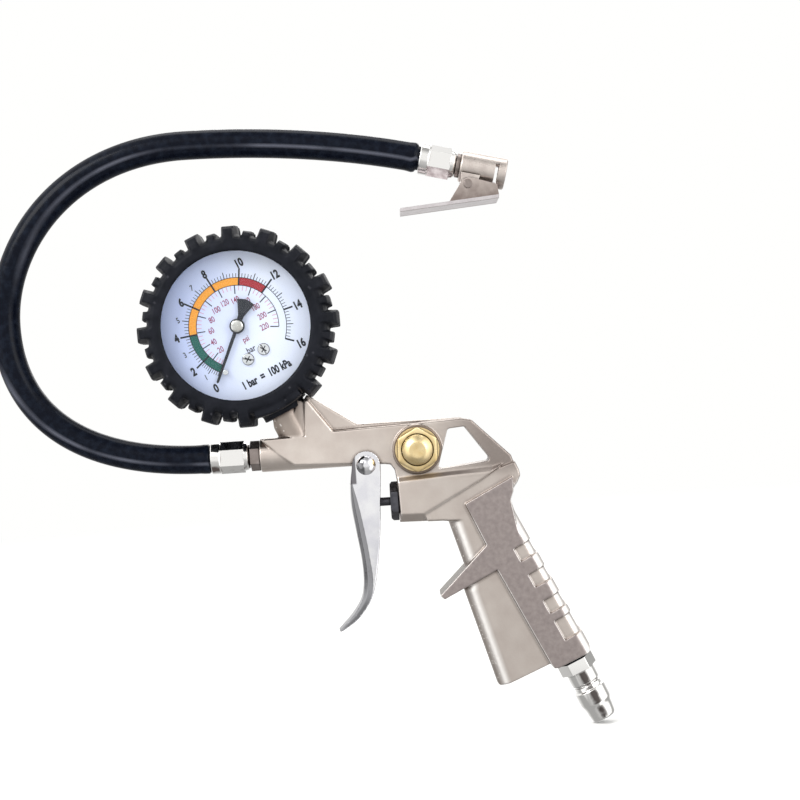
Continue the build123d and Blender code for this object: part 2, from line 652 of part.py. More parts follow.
# ---------------------------------------------------------------- gauge shell
def gauge_turned(profile):
    """Solid of revolution about the gauge's axis from (y, radius) pairs, in the gauge frame."""
    return turned(Plane(origin=(0, 0, 0), x_dir=(1, 0, 0), z_dir=(0, 1, 0)), profile)


def make_gauge_case():
    inner = case_radius - case_wall
    floor = case_back_y - case_wall
    case = gauge_turned([(case_front_y, inner), (case_front_y, case_radius), (case_back_y - 1.2, case_radius),
                         (case_back_y, case_radius - 1.2), (case_back_y, 0), (floor, 0), (floor, inner),
                         (-14.9, inner), (-14.9, 29.2), (-15.55, 29.2), (-15.55, inner)])
    case -= disc(STEM, 5.0 + seat_gap, 25.0, 40.0)
    for x, z in case_screw_places:
        case -= y_disc(x, z, 1.6, 0.0, 15.0)
    return GAUGE * case


def make_bezel_ring():
    outer = 31.85
    inner = case_radius + seat_gap
    return GAUGE * gauge_turned([(-18.3, 28.4), (-18.3, 31.2), (-17.7, outer), (-12.5, outer),
                                 (-12.5, inner), (-17.42, inner), (-17.42, 28.4)])


def make_gauge_lens():
    return GAUGE * gauge_turned([(-17.38, 0), (-17.38, 30.06), (-15.6, 30.06), (-15.6, 0)])


def dial_screw_places():
    return [polar(dial_screw_circle, angle) for angle in dial_screw_angles]


def pointer_rest_angle():
    """Angle of the pointer at zero, counter-clockwise from the gauge's right."""
    return 90.0 + pointer_sweep / 2


def stop_pin_place():
    return polar(stop_pin_circle, pointer_rest_angle() + 5.3)


def make_gauge_dial():
    back = dial_front_y + dial_thickness
    dial = gauge_turned([(dial_front_y, 0), (dial_front_y, dial_radius), (back, dial_radius), (back, 0)])
    dial -= y_disc(0, 0, 1.6, -15.0, 0.0)       # clearance hole for the pinion's arbor
    for x, z in dial_screw_places():
        dial -= y_disc(x, z, 1.05, -15.0, 0.0)
    return GAUGE * (dial - y_disc(*stop_pin_place(), 0.62, -15.0, 0.0))


def make_dial_screws():
    """Two slotted cheese-head screws."""
    screws = []
    for index, (x, z) in enumerate(dial_screw_places()):
        seat = dial_front_y - seat_gap
        screw = y_disc(x, z, 2.1, seat - 0.8, seat) + y_disc(x, z, 0.95, seat - 0.1, -8.0)
        slot = Pos(x, seat - 0.8, z) * Rot(0, 35 + 50 * index, 0) * Box(5.0, 0.7, 0.5)
        screws.append(GAUGE * (screw - slot))
    return Compound(children=screws)


def make_stop_pin():
    place = stop_pin_place()
    head = y_disc(*place, 1.0, -14.3, dial_front_y - seat_gap)
    return GAUGE * (head + y_disc(*place, 0.6, -12.2, -11.0))


def make_socket_screws():
    screws = []
    crown = case_back_y + 1.6
    for x, z in case_screw_places:
        screw = y_disc(x, z, 2.7, case_back_y + seat_gap, crown) + y_disc(x, z, 1.48, 3.0, crown - 1.1)
        slot = Pos(x, crown, z) * Box(6.0, 1.4, 0.7)
        screws.append(GAUGE * (screw - slot))
    return Compound(children=screws)


def lug_blocks(radius, width, first, step, count, low, high):
    """Radial tread blocks between two Y stations, on a circle about the gauge's axis."""
    inner = boot_valley_radius - 0.6
    foot = width / 2 + 0.5
    crown = width / 2 - 0.4
    block = prism([(inner, -foot), (radius, -crown), (radius, crown), (inner, foot)], low, high)
    return [Rot(0, -(first + step * index), 0) * block for index in range(count)]


def make_rubber_boot():
    """Rubber guard shaped like an off-road tyre: front and back lips, two rows of lugs, stem saddle."""
    boot = gauge_turned([(-18.45, window_radius), (-19.4, window_radius), (-20.0, 28.6), (-20.0, 32.2),
                         (-18.6, boot_valley_radius), (10.0, boot_valley_radius), (11.6, 32.4),
                         (11.6, 24.0), (9.65, 24.0), (9.65, boot_bore_radius), (-18.45, boot_bore_radius)])
    step = 360.0 / lug_count
    blocks = []
    for low, high in ((-19.0, -5.5), (-2.5, 10.0)):
        blocks += lug_blocks(big_lug_radius, 4.6, -90.0 + step, step, lug_count - 1, low, high)
        blocks += lug_blocks(small_lug_radius, 3.4, -90.0 + 1.5 * step, step, lug_count - 2, low, high)
    boot += blocks
    saddle = gauge_turned([(-18.5, 33.0), (-18.5, boot_saddle_radius - 0.8), (-17.5, boot_saddle_radius),
                           (9.0, boot_saddle_radius), (9.9, boot_saddle_radius - 0.8), (9.9, 33.0)])
    boot += saddle & prism([(0, 0), polar(45, -106), polar(45, -74)], -30.0, 30.0)
    return GAUGE * (boot - disc(STEM, 6.7, 30.0, 42.0))


# ---------------------------------------------------------------- gauge movement
def make_gauge_socket():
    """Brass socket: block that carries tube and movement, round neck, hexagon and thread."""
    floor = case_back_y - case_wall - running_gap
    block = prism([(-6.5, -29.2), (6.5, -29.2), (6.5, -14.8), (11.0, -14.8), (11.0, -5.5), (-11.0, -5.5),
                   (-11.0, -14.8), (-6.5, -14.8)], back_plate_y[1] + seat_gap, floor)
    socket = block + disc(STEM, 5.0, 28.0, 33.0) + hexagon(STEM, 11.0, 32.9, 36.0)
    socket += disc(STEM, 3.95, 35.9, 44.2)
    passage_depth = 18.9
    socket -= disc(STEM, 1.25, passage_depth, 46.0)
    side_hole = Plane(origin=(0, 0, -passage_depth), x_dir=(0, 1, 0), z_dir=(-1, 0, 0))
    socket -= disc(side_hole, 1.0, -0.5, 8.0)
    for x, z in case_screw_places:
        socket -= y_disc(x, z, 1.5, 2.8, 12.0)
    for x, z in movement_screw_places:
        socket -= y_disc(x, z, 0.95 + seat_gap, -5.0, 2.0)
    for x, z in dial_screw_places():
        socket -= y_disc(x, z, 1.0 + seat_gap, -5.0, 0.2)
    return GAUGE * socket


def make_gauge_washer():
    return GAUGE * ring(STEM, 5.4, 4.05, 36.0 + seat_gap, stem_face - seat_gap)


def make_bourdon_tube():
    """Flattened spring tube bent to a C, from the socket round to the free tip."""
    def hoop(radial, depth, corner):
        section = Pos(tube_mean_radius, 0) * RectangleRounded(radial, depth, corner)
        return revolve(section, Axis.Y)
    opening = prism([(-6.52, 0.5), (-6.52, -40.0), (40.0, -40.0), polar(44.0, tube_end_angle), (0.0, 0.5)],
                    -8.0, 8.0)
    return GAUGE * (hoop(2.6, 10.0, 1.2) - hoop(1.8, 9.2, 0.8) - opening)


def make_bourdon_tip():
    """Soldered end piece with the pin that the link hangs on."""
    first = tube_end_angle - 0.2
    last = tube_end_angle - 10.0
    inner = tube_mean_radius - 1.7
    outer = tube_mean_radius + 1.5
    tip = prism([polar(inner, first), polar(outer, first), polar(outer, last), polar(inner, last)], -5.0, 5.0)
    boss = y_disc(*link_lower_end, 0.9, -5.6, 0.0)
    return GAUGE * (tip + boss + y_disc(*link_lower_end, link_pin_radius, -7.0, -5.0))


def make_movement_plates():
    """Front and back plates, with the arbors' bearing holes."""
    body = [(-8.6, -8.6), (11.6, -8.6), (11.6, -3.4), (15.9, -2.6), (15.9, 2.6), (11.0, 4.0), (4.0, 7.6),
            (-8.6, 7.6)]
    feet = [(-11.0, -12.9), (11.0, -12.9), (11.6, -8.0), (-11.0, -8.0)]
    plates = []
    for low, high in (front_plate_y, back_plate_y):
        sheet = prism(body, low, high)
        if low == back_plate_y[0]:
            sheet += prism(feet, low, high)
            for x, z in dial_screw_places():
                sheet -= y_disc(x, z, 2.2, -20.0, 5.0)
            for x, z in movement_screw_places:
                sheet -= y_disc(x, z, 1.1, -20.0, 5.0)
        sheet -= y_disc(0, 0, pinion_arbor_radius + running_gap, -20.0, 5.0)
        sheet -= y_disc(gear_centres, 0, sector_arbor_radius + running_gap, -20.0, 5.0)
        for x, z in pillar_places:
            sheet -= y_disc(x, z, pillar_end_radius + seat_gap, -20.0, 5.0)
        plates.append(GAUGE * sheet)
    return Compound(children=plates)


def make_movement_pillars():
    pillars = []
    for x, z in pillar_places:
        pillar = y_disc(x, z, 1.4, front_plate_y[1] + seat_gap, back_plate_y[0] - seat_gap)
        ends = y_disc(x, z, pillar_end_radius, front_plate_y[0], back_plate_y[1] - seat_gap)
        pillars.append(GAUGE * (pillar + ends))
    return Compound(children=pillars)


def make_movement_screws():
    screws = []
    seat = back_plate_y[0] - seat_gap
    for x, z in movement_screw_places:
        screw = y_disc(x, z, 1.7, seat - 1.0, seat) + y_disc(x, z, 0.95, seat - 0.2, 1.5)
        slot = Pos(x, seat - 1.0, z) * Box(4.0, 0.8, 0.4)
        screws.append(GAUGE * (screw - slot))
    return Compound(children=screws)


def make_dial_posts():
    """Two threaded posts that carry the dial in front of the movement."""
    posts = []
    for x, z in dial_screw_places():
        post = y_disc(x, z, 1.9, dial_front_y + dial_thickness + seat_gap, back_plate_y[1])
        post += y_disc(x, z, 1.0, back_plate_y[1] - 0.2, 0.0)
        posts.append(GAUGE * (post - y_disc(x, z, 0.95 + seat_gap, -14.0, -7.6)))
    return Compound(children=posts)


def tooth_half_angle(teeth, radius, slack):
    """Half the angle that an involute tooth fills at a radius, in radians."""
    pitch_radius = gear_module * teeth / 2
    base_radius = pitch_radius * math.cos(math.radians(pressure_angle))
    at_pitch = math.pi / (2 * teeth) - slack / (2 * pitch_radius)

    def roll(angle):
        return math.tan(angle) - angle
    flank = math.acos(min(1.0, base_radius / max(radius, base_radius)))
    return at_pitch + roll(math.radians(pressure_angle)) - roll(flank)


def toothed_arc(teeth, centres, root, tip, slack):
    """Points of a toothed rim; centres lists the teeth's middle angles in degrees."""
    points = []
    levels = [root + (tip - root) * share for share in (0.0, 0.35, 0.7, 1.0)]
    for centre in centres:
        middle = math.radians(centre)
        for level in levels:
            angle = middle - tooth_half_angle(teeth, level, slack)
            points.append((level * math.cos(angle), level * math.sin(angle)))
        for level in reversed(levels):
            angle = middle + tooth_half_angle(teeth, level, slack)
            points.append((level * math.cos(angle), level * math.sin(angle)))
    return points


def make_pinion():
    """Pinion and its arbor, turned to its place at zero pressure."""
    pitch_radius = gear_module * pinion_teeth / 2
    step = 360.0 / pinion_teeth
    centres = [step * (index + 0.5) for index in range(pinion_teeth)]
    rim = toothed_arc(pinion_teeth, centres, pitch_radius - 0.3, pitch_radius + 0.22, 0.05)
    gear = prism(rim, -8.0, -6.2)
    arbor = y_disc(0, 0, pinion_arbor_radius, -14.2, back_plate_y[1])
    return GAUGE * (Rot(0, -pointer_sweep / 2, 0) * (gear + arbor))


def make_sector_gear():
    """Toothed sector with its arbor and the tail that the link turns, at zero pressure."""
    pitch_radius = gear_module * sector_full_teeth / 2
    step = 360.0 / sector_full_teeth
    side_teeth = 5
    centres = [180.0 + step * index for index in range(-side_teeth, side_teeth + 1)]
    rim = toothed_arc(sector_full_teeth, centres, pitch_radius - 0.32, pitch_radius + 0.17, 0.05)
    low = -7.6
    high = -6.6
    web = prism(rim + [(0.0, -1.4), (tail_radius, -0.9), (tail_radius, 0.9), (0.0, 1.4)], low, high)
    web += y_disc(0, 0, 1.8, low, high) + y_disc(tail_radius, 0, 0.9, low, high)
    web -= prism([polar(4.2, 172), polar(4.2, 188), polar(9.6, 193), polar(9.6, 167)], low - 1, high + 1)
    arbor = y_disc(0, 0, sector_arbor_radius, front_plate_y[0], back_plate_y[1])
    sector = web + arbor + y_disc(tail_radius, 0, link_pin_radius, low, -5.4)
    turn = Rot(0, pointer_sweep / gear_ratio / 2, 0)
    return GAUGE * (Pos(gear_centres, 0, 0) * turn * sector)


def make_link():
    """Flat link from the tube's tip to the sector's tail; the lower eye is a slot."""
    half_swing = math.radians(pointer_sweep / gear_ratio / 2)
    rise = 2 * tail_radius * math.sin(half_swing)
    eye_x = gear_centres + tail_radius * (1 + math.cos(half_swing)) / 2
    eye_z = -tail_radius * math.sin(half_swing)
    foot_x, foot_z = link_lower_end
    low = -6.5
    high = -5.9

    def bar(x, bottom, top, half, reach=0.0):
        return prism([(x - half, bottom), (x + half, bottom), (x + half, top), (x - half, top)],
                     low - reach, high + reach)
    link = bar(foot_x, foot_z - rise, eye_z, 0.9) + y_disc(eye_x, eye_z, 1.1, low, high)
    link += y_disc(foot_x, foot_z - rise, 0.9, low, high)
    for end in (foot_z - rise, foot_z):
        link -= y_disc(foot_x, end, link_eye_half, low - 1, high + 1)
    link -= bar(foot_x, foot_z - rise, foot_z, link_eye_half, reach=1.0)
    return GAUGE * (link - bar(eye_x, eye_z - link_eye_half, eye_z + link_eye_half, 0.55, reach=1.0))


def make_hairspring():
    """Flat spiral strip round the pinion's arbor."""
    inner_radius = 0.75
    growth = 0.95
    turns = 4
    strip = 0.16
    samples = [index / 8 for index in range(8 * turns + 1)]

    def spiral(offset):
        return Spline(*[polar(inner_radius + growth * turn + offset, 360.0 * turn) for turn in samples])
    inner = spiral(-strip / 2)
    outer = spiral(strip / 2)
    outer_end = Line(inner @ 1, outer @ 1)
    inner_end = Line(outer @ 0, inner @ 0)
    band = make_face(Wire([inner.edge(), outer_end.edge(), outer.edge(), inner_end.edge()]))
    return GAUGE * extrude(Plane.XZ.offset(8.8) * band, amount=0.4)


def make_pointer():
    """Black pointer: tapered blade, fan-shaped balance and round hub."""
    y_front = -13.6
    y_back = -13.1
    tip_start = pointer_length - 0.6
    blade = prism([(1.5, -0.65), (tip_start, -0.45), (pointer_length, 0.0), (tip_start, 0.45), (1.5, 0.65)],
                  y_front, y_back)
    rim = [polar(10.6 - 0.3 * abs(step) / 2, 180 - 9.5 * step) for step in range(-2, 3)]
    fan = prism([(-1.5, -0.9), (-4.2, -1.1), *rim, (-4.2, 1.1), (-1.5, 0.9)], y_front, y_back)
    hub = y_disc(0, 0, 2.8, -14.3, -12.7)
    pointer = blade + fan + hub - y_disc(0, 0, pinion_arbor_radius + seat_gap, -14.22, -12.0)
    return GAUGE * (Rot(0, -pointer_rest_angle(), 0) * pointer)


def make_pointer_cap():
    return GAUGE * gauge_turned([(-14.95, 0), (-14.95, 1.7), (-14.75, 2.25), (-14.32, 2.25), (-14.32, 0)])


# ---------------------------------------------------------------- export
MAKERS = (make_gun_body, make_gland_nut, make_stem_o_ring, make_valve_seat, make_valve_stem,
          make_poppet, make_poppet_seal, make_valve_spring, make_trigger, make_trigger_pin,
          make_bleed_nut, make_bleed_button, make_bleed_stem, make_bleed_seal, make_bleed_spring,
          make_inlet_plug, make_inlet_washer, make_hose, make_gun_hose_ferrule,
          make_chuck_hose_ferrule, make_gun_hose_nipple, make_chuck_hose_nipple, make_chuck_body,
          make_chuck_seal, make_chuck_depressor, make_chuck_pin, make_chuck_lever,
          make_chuck_spring, make_gauge_case, make_bezel_ring, make_gauge_lens, make_gauge_dial,
          make_dial_screws, make_stop_pin, make_socket_screws, make_rubber_boot, make_gauge_socket,
          make_gauge_washer, make_bourdon_tube, make_bourdon_tip, make_movement_plates,
          make_movement_pillars, make_movement_screws, make_dial_posts, make_pinion,
          make_sector_gear, make_link, make_hairspring, make_pointer, make_pointer_cap)

os.makedirs("parts", exist_ok=True)
to_row = Location((-row_origin[0], -row_origin[1], -row_origin[2]))
for maker in MAKERS:
    node = maker.__name__.removeprefix("make_")
    export_step(to_row * maker(), f"parts/{node}.step")
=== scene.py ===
import json
import math

import bmesh
import bpy
import numpy as np
from mathutils import Matrix, Vector


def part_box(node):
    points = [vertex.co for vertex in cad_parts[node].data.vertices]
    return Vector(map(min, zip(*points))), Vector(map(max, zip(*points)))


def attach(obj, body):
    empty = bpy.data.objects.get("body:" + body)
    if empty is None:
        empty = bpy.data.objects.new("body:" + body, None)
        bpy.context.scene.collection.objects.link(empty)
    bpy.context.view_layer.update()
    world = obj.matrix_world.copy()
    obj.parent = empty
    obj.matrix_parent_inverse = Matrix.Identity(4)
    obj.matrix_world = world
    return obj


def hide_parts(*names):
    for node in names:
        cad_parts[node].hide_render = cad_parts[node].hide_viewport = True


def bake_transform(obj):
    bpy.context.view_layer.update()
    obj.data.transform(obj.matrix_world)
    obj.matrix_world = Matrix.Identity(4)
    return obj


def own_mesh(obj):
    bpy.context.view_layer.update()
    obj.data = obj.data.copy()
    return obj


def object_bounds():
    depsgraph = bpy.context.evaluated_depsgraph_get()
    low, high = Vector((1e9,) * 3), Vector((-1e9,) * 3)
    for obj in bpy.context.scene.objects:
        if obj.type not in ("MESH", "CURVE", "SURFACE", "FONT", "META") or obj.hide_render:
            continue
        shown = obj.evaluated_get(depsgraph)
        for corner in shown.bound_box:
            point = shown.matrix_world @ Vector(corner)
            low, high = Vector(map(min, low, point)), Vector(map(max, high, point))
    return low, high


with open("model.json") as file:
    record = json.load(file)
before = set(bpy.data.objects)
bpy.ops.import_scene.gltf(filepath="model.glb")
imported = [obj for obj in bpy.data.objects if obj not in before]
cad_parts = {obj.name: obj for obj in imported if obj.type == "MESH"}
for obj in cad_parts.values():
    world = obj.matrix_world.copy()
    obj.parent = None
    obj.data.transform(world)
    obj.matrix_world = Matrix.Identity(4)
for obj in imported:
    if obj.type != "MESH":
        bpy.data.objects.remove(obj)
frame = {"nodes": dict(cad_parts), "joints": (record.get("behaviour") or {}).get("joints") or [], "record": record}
cad_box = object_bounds()

# Lengths in this script are millimetres in one of two local frames, GUN or GAUGE, until a frame's
# matrix carries them to the shared frame in metres.
MM = 0.001
joints = {joint["name"]: joint for joint in frame["joints"]}
body_of = {node: body for body, nodes in frame["record"]["behaviour"]["bodies"].items() for node in nodes}
slot_of = {part["node"]: part["material_slot"] for part in frame["record"]["subparts"]}
trigger_pivot = Vector(joints["trigger_pull"]["pos_m"])
gauge_centre = Vector(joints["pointer_turn"]["pos_m"])
stem_up = Vector(joints["link_rise"]["axis"])
lean = math.atan2(-stem_up.x, stem_up.z)

PIVOT_X = 40.3                  # trigger pivot, measured from the centre of the hose port
PIVOT_Z = -6.0
port_centre = trigger_pivot - Vector((PIVOT_X, 0.0, PIVOT_Z)) * MM
GUN = Matrix.Translation(port_centre) @ Matrix.Scale(MM, 4)
GAUGE = Matrix.Translation(gauge_centre) @ Matrix.Rotation(-lean, 4, "Y") @ Matrix.Scale(MM, 4)

# hose
HOSE_RADIUS = 5.5
CRIMPED_RADIUS = 4.55
CHUCK_FALL = 14.4               # slope of the chuck's axis, in degrees
# knots: point, heading in degrees, handle lengths before and after
HOSE_KNOTS = (((-20.0, 0.0), 180.0, 0.0, 48.0), ((-94.7, 56.5), 90.0, 36.0, 30.0),
              ((-22.0, 121.0), 0.0, 47.0, 30.0), ((67.1, 110.4), -CHUCK_FALL, 28.0, 0.0))
HOSE_START = (-5.2, 0.0)
HOSE_END = (81.05, 106.82)
HOSE_SIDES = 40
HOSE_COVERED = 13.9             # length hidden by each ferrule
HOSE_RISE = 0.9                 # length over which it widens beyond the ferrule
HOSE_SWELL = 0.22
SWELL_WIDTH = 1.6

# boot
WINDOW_RADIUS = 27.8
BOOT_RADIUS = 34.0
SADDLE_RADIUS = 35.4
COLLAR_RADIUS = 8.6
STEM_HOLE_RADIUS = 6.7
BOOT_FRONT = -20.0
BOOT_BACK = 11.6
LUG_STEP = 22.5
STEM_ANGLE = -90.0
# lugs as (y, radius, half width) stations
FRONT_BIG_LUG = ((-20.0, 32.4, 1.5), (-19.5, 34.4, 1.6), (-18.0, 36.3, 1.8), (-15.0, 37.6, 2.3),
                 (-11.5, 38.2, 2.9), (-5.4, 38.4, 3.1))
BACK_BIG_LUG = ((-2.6, 38.4, 3.1), (3.0, 38.2, 2.8), (7.5, 37.2, 2.2), (10.4, 34.6, 1.6))
FRONT_SMALL_LUG = ((-19.7, 32.4, 0.9), (-18.6, 34.0, 1.1), (-16.6, 35.2, 1.4), (-12.0, 36.2, 1.8),
                   (-5.8, 36.4, 2.0))
BACK_SMALL_LUG = ((-2.2, 36.4, 2.0), (4.5, 36.0, 1.7), (10.0, 34.0, 1.2))

# chuck lever
EAR_SHADE_Z = (92.5, 100.5)     # from the shaded foot of its ears to their lit top
EAR_INSIDE, EAR_OUTSIDE = (6.2, 6.35), (7.6, 7.4)

# dial print
DIAL_FACE = -12.0
PRINT_RISE = 0.05
INK_FRONT = DIAL_FACE - 1.6 * PRINT_RISE
BAND_INNER = 15.5
BAND_OUTER = 18.5
ZERO_ANGLE = 223.0              # gauge angles run counter-clockwise from the gauge's right
TWO_BAR_ANGLE = 198.0
DEGREES_PER_BAR = 17.14
PSI_PER_BAR = 14.504
SCREW_CIRCLE = 13.0
SCREW_ANGLES = (-100.0, -69.0)
# dark ring round each dial screw: a painted shadow on the dial
SCREW_RING = (2.0, 2.28)
# dark cross slots on each screw head: painted shade in place of recessed slots
SLOT_TURNS = (35.0, 125.0)
SLOT_HALF = 1.35
SLOT_WIDTH = 0.4
SLOT_RISE = 0.02
LETTER_HALF_DEPTH = 0.01
DIGIT_HEIGHT = 0.69             # of a digit in lettering of size 1

# release nut and button
NUT_CENTRE = (60.1, -1.3)


# ---- small geometry helpers
def polar(radius, degrees):
    angle = math.radians(degrees)
    return radius * math.cos(angle), radius * math.sin(angle)


def circle_points(centre, radius, angles):
    return [(centre[0] + polar(radius, angle)[0], centre[1] + polar(radius, angle)[1]) for angle in angles]


def add_loops(bm, loops, closed=False):
    """Closed skin through vertex loops of equal size; ends are capped unless the loops run round."""
    rows = [[bm.verts.new(point) for point in loop] for loop in loops]
    count = len(rows[0])
    pairs = list(zip(rows, rows[1:]))
    if closed:
        pairs.append((rows[-1], rows[0]))
    else:
        bm.faces.new(rows[0])
        bm.faces.new(reversed(rows[-1]))
    for first, second in pairs:
        for index in range(count):
            after = (index + 1) % count
            bm.faces.new((first[index], first[after], second[after], second[index]))


def add_slab(bm, outline, near, far):
    """Closed prism of an XZ outline between two Y stations."""
    add_loops(bm, [[(x, y, z) for x, z in outline] for y in (near, far)])


def add_arc_band(bm, inner, outer, start, end, near, far):
    """Thin sector of a ring between two angles."""
    steps = max(2, math.ceil(abs(end - start) / 2.0))
    loops = []
    for index in range(steps + 1):
        angle = start + (end - start) * index / steps
        (x0, z0), (x1, z1) = polar(inner, angle), polar(outer, angle)
        loops.append([(x0, near, z0), (x1, near, z1), (x1, far, z1), (x0, far, z0)])
    add_loops(bm, loops)


def turned_section(profile, angle):
    """Points of a (y, radius) profile turned about Y to an angle."""
    return [(polar(radius, angle)[0], y, polar(radius, angle)[1]) for y, radius in profile]


def add_lathe(bm, centre, stations, closed=False, segments=96):
    """Skin round a line along Y through an XZ point; a station's radius is a number or a function."""
    loops = []
    for y, radius in stations:
        loop = []
        for index in range(segments):
            turn = 360.0 * index / segments
            dx, dz = polar(radius(turn) if callable(radius) else radius, turn)
            loop.append((centre[0] + dx, y, centre[1] + dz))
        loops.append(loop)
    add_loops(bm, loops, closed)


def dome(base_y, top_y, rim, steps=14):
    """Stations of a spherical cap from its rim to just short of its crown."""
    rise = abs(top_y - base_y)
    ball = (rim * rim + rise * rise) / (2.0 * rise)
    side = math.copysign(1.0, base_y - top_y)
    widest = math.asin(rim / ball)
    stations = []
    for step in range(steps):
        angle = widest * (1.0 - step / steps)
        stations.append((top_y + side * ball * (1.0 - math.cos(angle)), ball * math.sin(angle)))
    return stations


def to_mesh(bm, name):
    mesh = bpy.data.meshes.new(name)
    bm.to_mesh(mesh)
    bm.free()
    return mesh


def finish_mesh(bm, name, matrix):
    bmesh.ops.recalc_face_normals(bm, faces=bm.faces)
    bm.transform(matrix)
    return to_mesh(bm, name)


def evaluated_copy(worker):
    """Mesh of an object with its modifiers applied; the object is removed."""
    depsgraph = bpy.context.evaluated_depsgraph_get()
    mesh = bpy.data.meshes.new_from_object(worker.evaluated_get(depsgraph))
    bpy.data.objects.remove(worker)
    return mesh


def add_object(name, data):
    piece = bpy.data.objects.new(name, data)
    bpy.context.scene.collection.objects.link(piece)
    return piece


def softened(name, mesh, voxel, rounds, holes=()):
    """Mesh as a moulding or pressing: one skin of small cells, with every edge and corner eased."""
    worker = add_object(name, mesh)
    cells = worker.modifiers.new("cells", "REMESH")
    cells.mode = "VOXEL"
    cells.voxel_size = voxel * MM
    cutters = []
    for hole in holes:
        cutter = add_object(f"{name}_cutter", hole)
        cutters.append(cutter)
        cut = worker.modifiers.new("hole", "BOOLEAN")
        cut.object = cutter
        cut.operation = "DIFFERENCE"
        cut.solver = "EXACT"
    ease = worker.modifiers.new("ease", "SMOOTH")
    ease.factor = 0.5
    ease.iterations = rounds
    result = evaluated_copy(worker)
    for cutter in cutters:
        bpy.data.objects.remove(cutter)
    result.name = name
    result.shade_smooth()
    return result


def cad_copy(node):
    """Own copy of a CAD node's mesh, with its coincident vertices joined."""
    bm = bmesh.new()
    bm.from_mesh(frame["nodes"][node].data)
    bmesh.ops.remove_doubles(bm, verts=bm.verts, dist=0.002 * MM)
    return to_mesh(bm, node)


def bevelled(node, width):
    """Copy of a machined node with its sharp edges broken by a small bevel."""
    worker = add_object(node + "_bevel", cad_copy(node))
    edge = worker.modifiers.new("edge", "BEVEL")
    edge.width = width * MM
    edge.segments = 2
    edge.limit_method = "ANGLE"
    edge.angle_limit = math.radians(28.0)
    edge.use_clamp_overlap = True
    shading = worker.modifiers.new("shading", "WEIGHTED_NORMAL")
    shading.keep_sharp = False
    worker.data.shade_smooth()
    return evaluated_copy(worker)


def paint(piece, material):
    piece.data.materials.clear()
    piece.data.materials.append(material)


def add_piece(name, mesh, node, material=None, replace=True):
    """Puts a finished mesh on a CAD node's body and in its slot, and in its place unless told not to."""
    piece = add_object(name, mesh)
    paint(piece, material or FINISH[slot_of[node]])
    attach(piece, body_of[node])
    if replace:
        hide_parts(node)


# ---- material helpers
class Graph:
    """Node tree with short calls for the nodes used here."""

    def __init__(self, tree):
        self.tree = tree

    def feed(self, socket, value):
        if isinstance(value, bpy.types.NodeSocket):
            self.tree.links.new(value, socket)
        else:
            socket.default_value = value

    def add(self, kind, settings=None, **inputs):
        node = self.tree.nodes.new(kind)
        for key, value in (settings or {}).items():
            setattr(node, key, value)
        for key, value in inputs.items():
            self.feed(node.inputs[key.replace("_", " ")], value)
        return node

    def span(self, value, low, high, out_low=0.0, out_high=1.0):
        node = self.add("ShaderNodeMapRange", Value=value, From_Min=low, From_Max=high,
                        To_Min=out_low, To_Max=out_high)
        return node.outputs["Result"]

    def pair(self, kind, operation, first, second):
        """Outputs of a two-input arithmetic node."""
        node = self.add(kind, {"operation": operation})
        self.feed(node.inputs[0], first)
        self.feed(node.inputs[1], second)
        return node.outputs

    def math(self, operation, first, second=0.0):
        return self.pair("ShaderNodeMath", operation, first, second)[0]

    def product(self, first, *others):
        for other in others:
            first = self.math("MULTIPLY", first, other)
        return first

    def axes(self, vector):
        """X, Y and Z of a vector."""
        return self.add("ShaderNodeSeparateXYZ", Vector=vector).outputs

    def toward(self, vector, direction):
        """How far a vector reaches in a direction; for a unit vector, the cosine between them."""
        heading = Vector(direction).normalized()
        return self.pair("ShaderNodeVectorMath", "DOT_PRODUCT", vector, heading)["Value"]

    def mix(self, share, first, second):
        """Colour between two colours, or a value between two values."""
        kind = "RGBA" if isinstance(first, tuple) or isinstance(second, tuple) else "FLOAT"
        if isinstance(first, bpy.types.NodeSocket) and first.type == "RGBA":
            kind = "RGBA"
        node = self.add("ShaderNodeMix", {"data_type": kind})
        first_at, second_at, out_at = (6, 7, 2) if kind == "RGBA" else (2, 3, 0)
        self.feed(node.inputs[0], share)
        self.feed(node.inputs[first_at], first)
        self.feed(node.inputs[second_at], second)
        return node.outputs[out_at]

    def join_shaders(self, share, first, second, target):
        """Leads a mix of two shaders to a target socket."""
        joined = self.add("ShaderNodeMixShader", Fac=share)
        self.feed(joined.inputs[1], first.outputs[0])
        self.feed(joined.inputs[2], second.outputs[0])
        self.feed(target, joined.outputs[0])


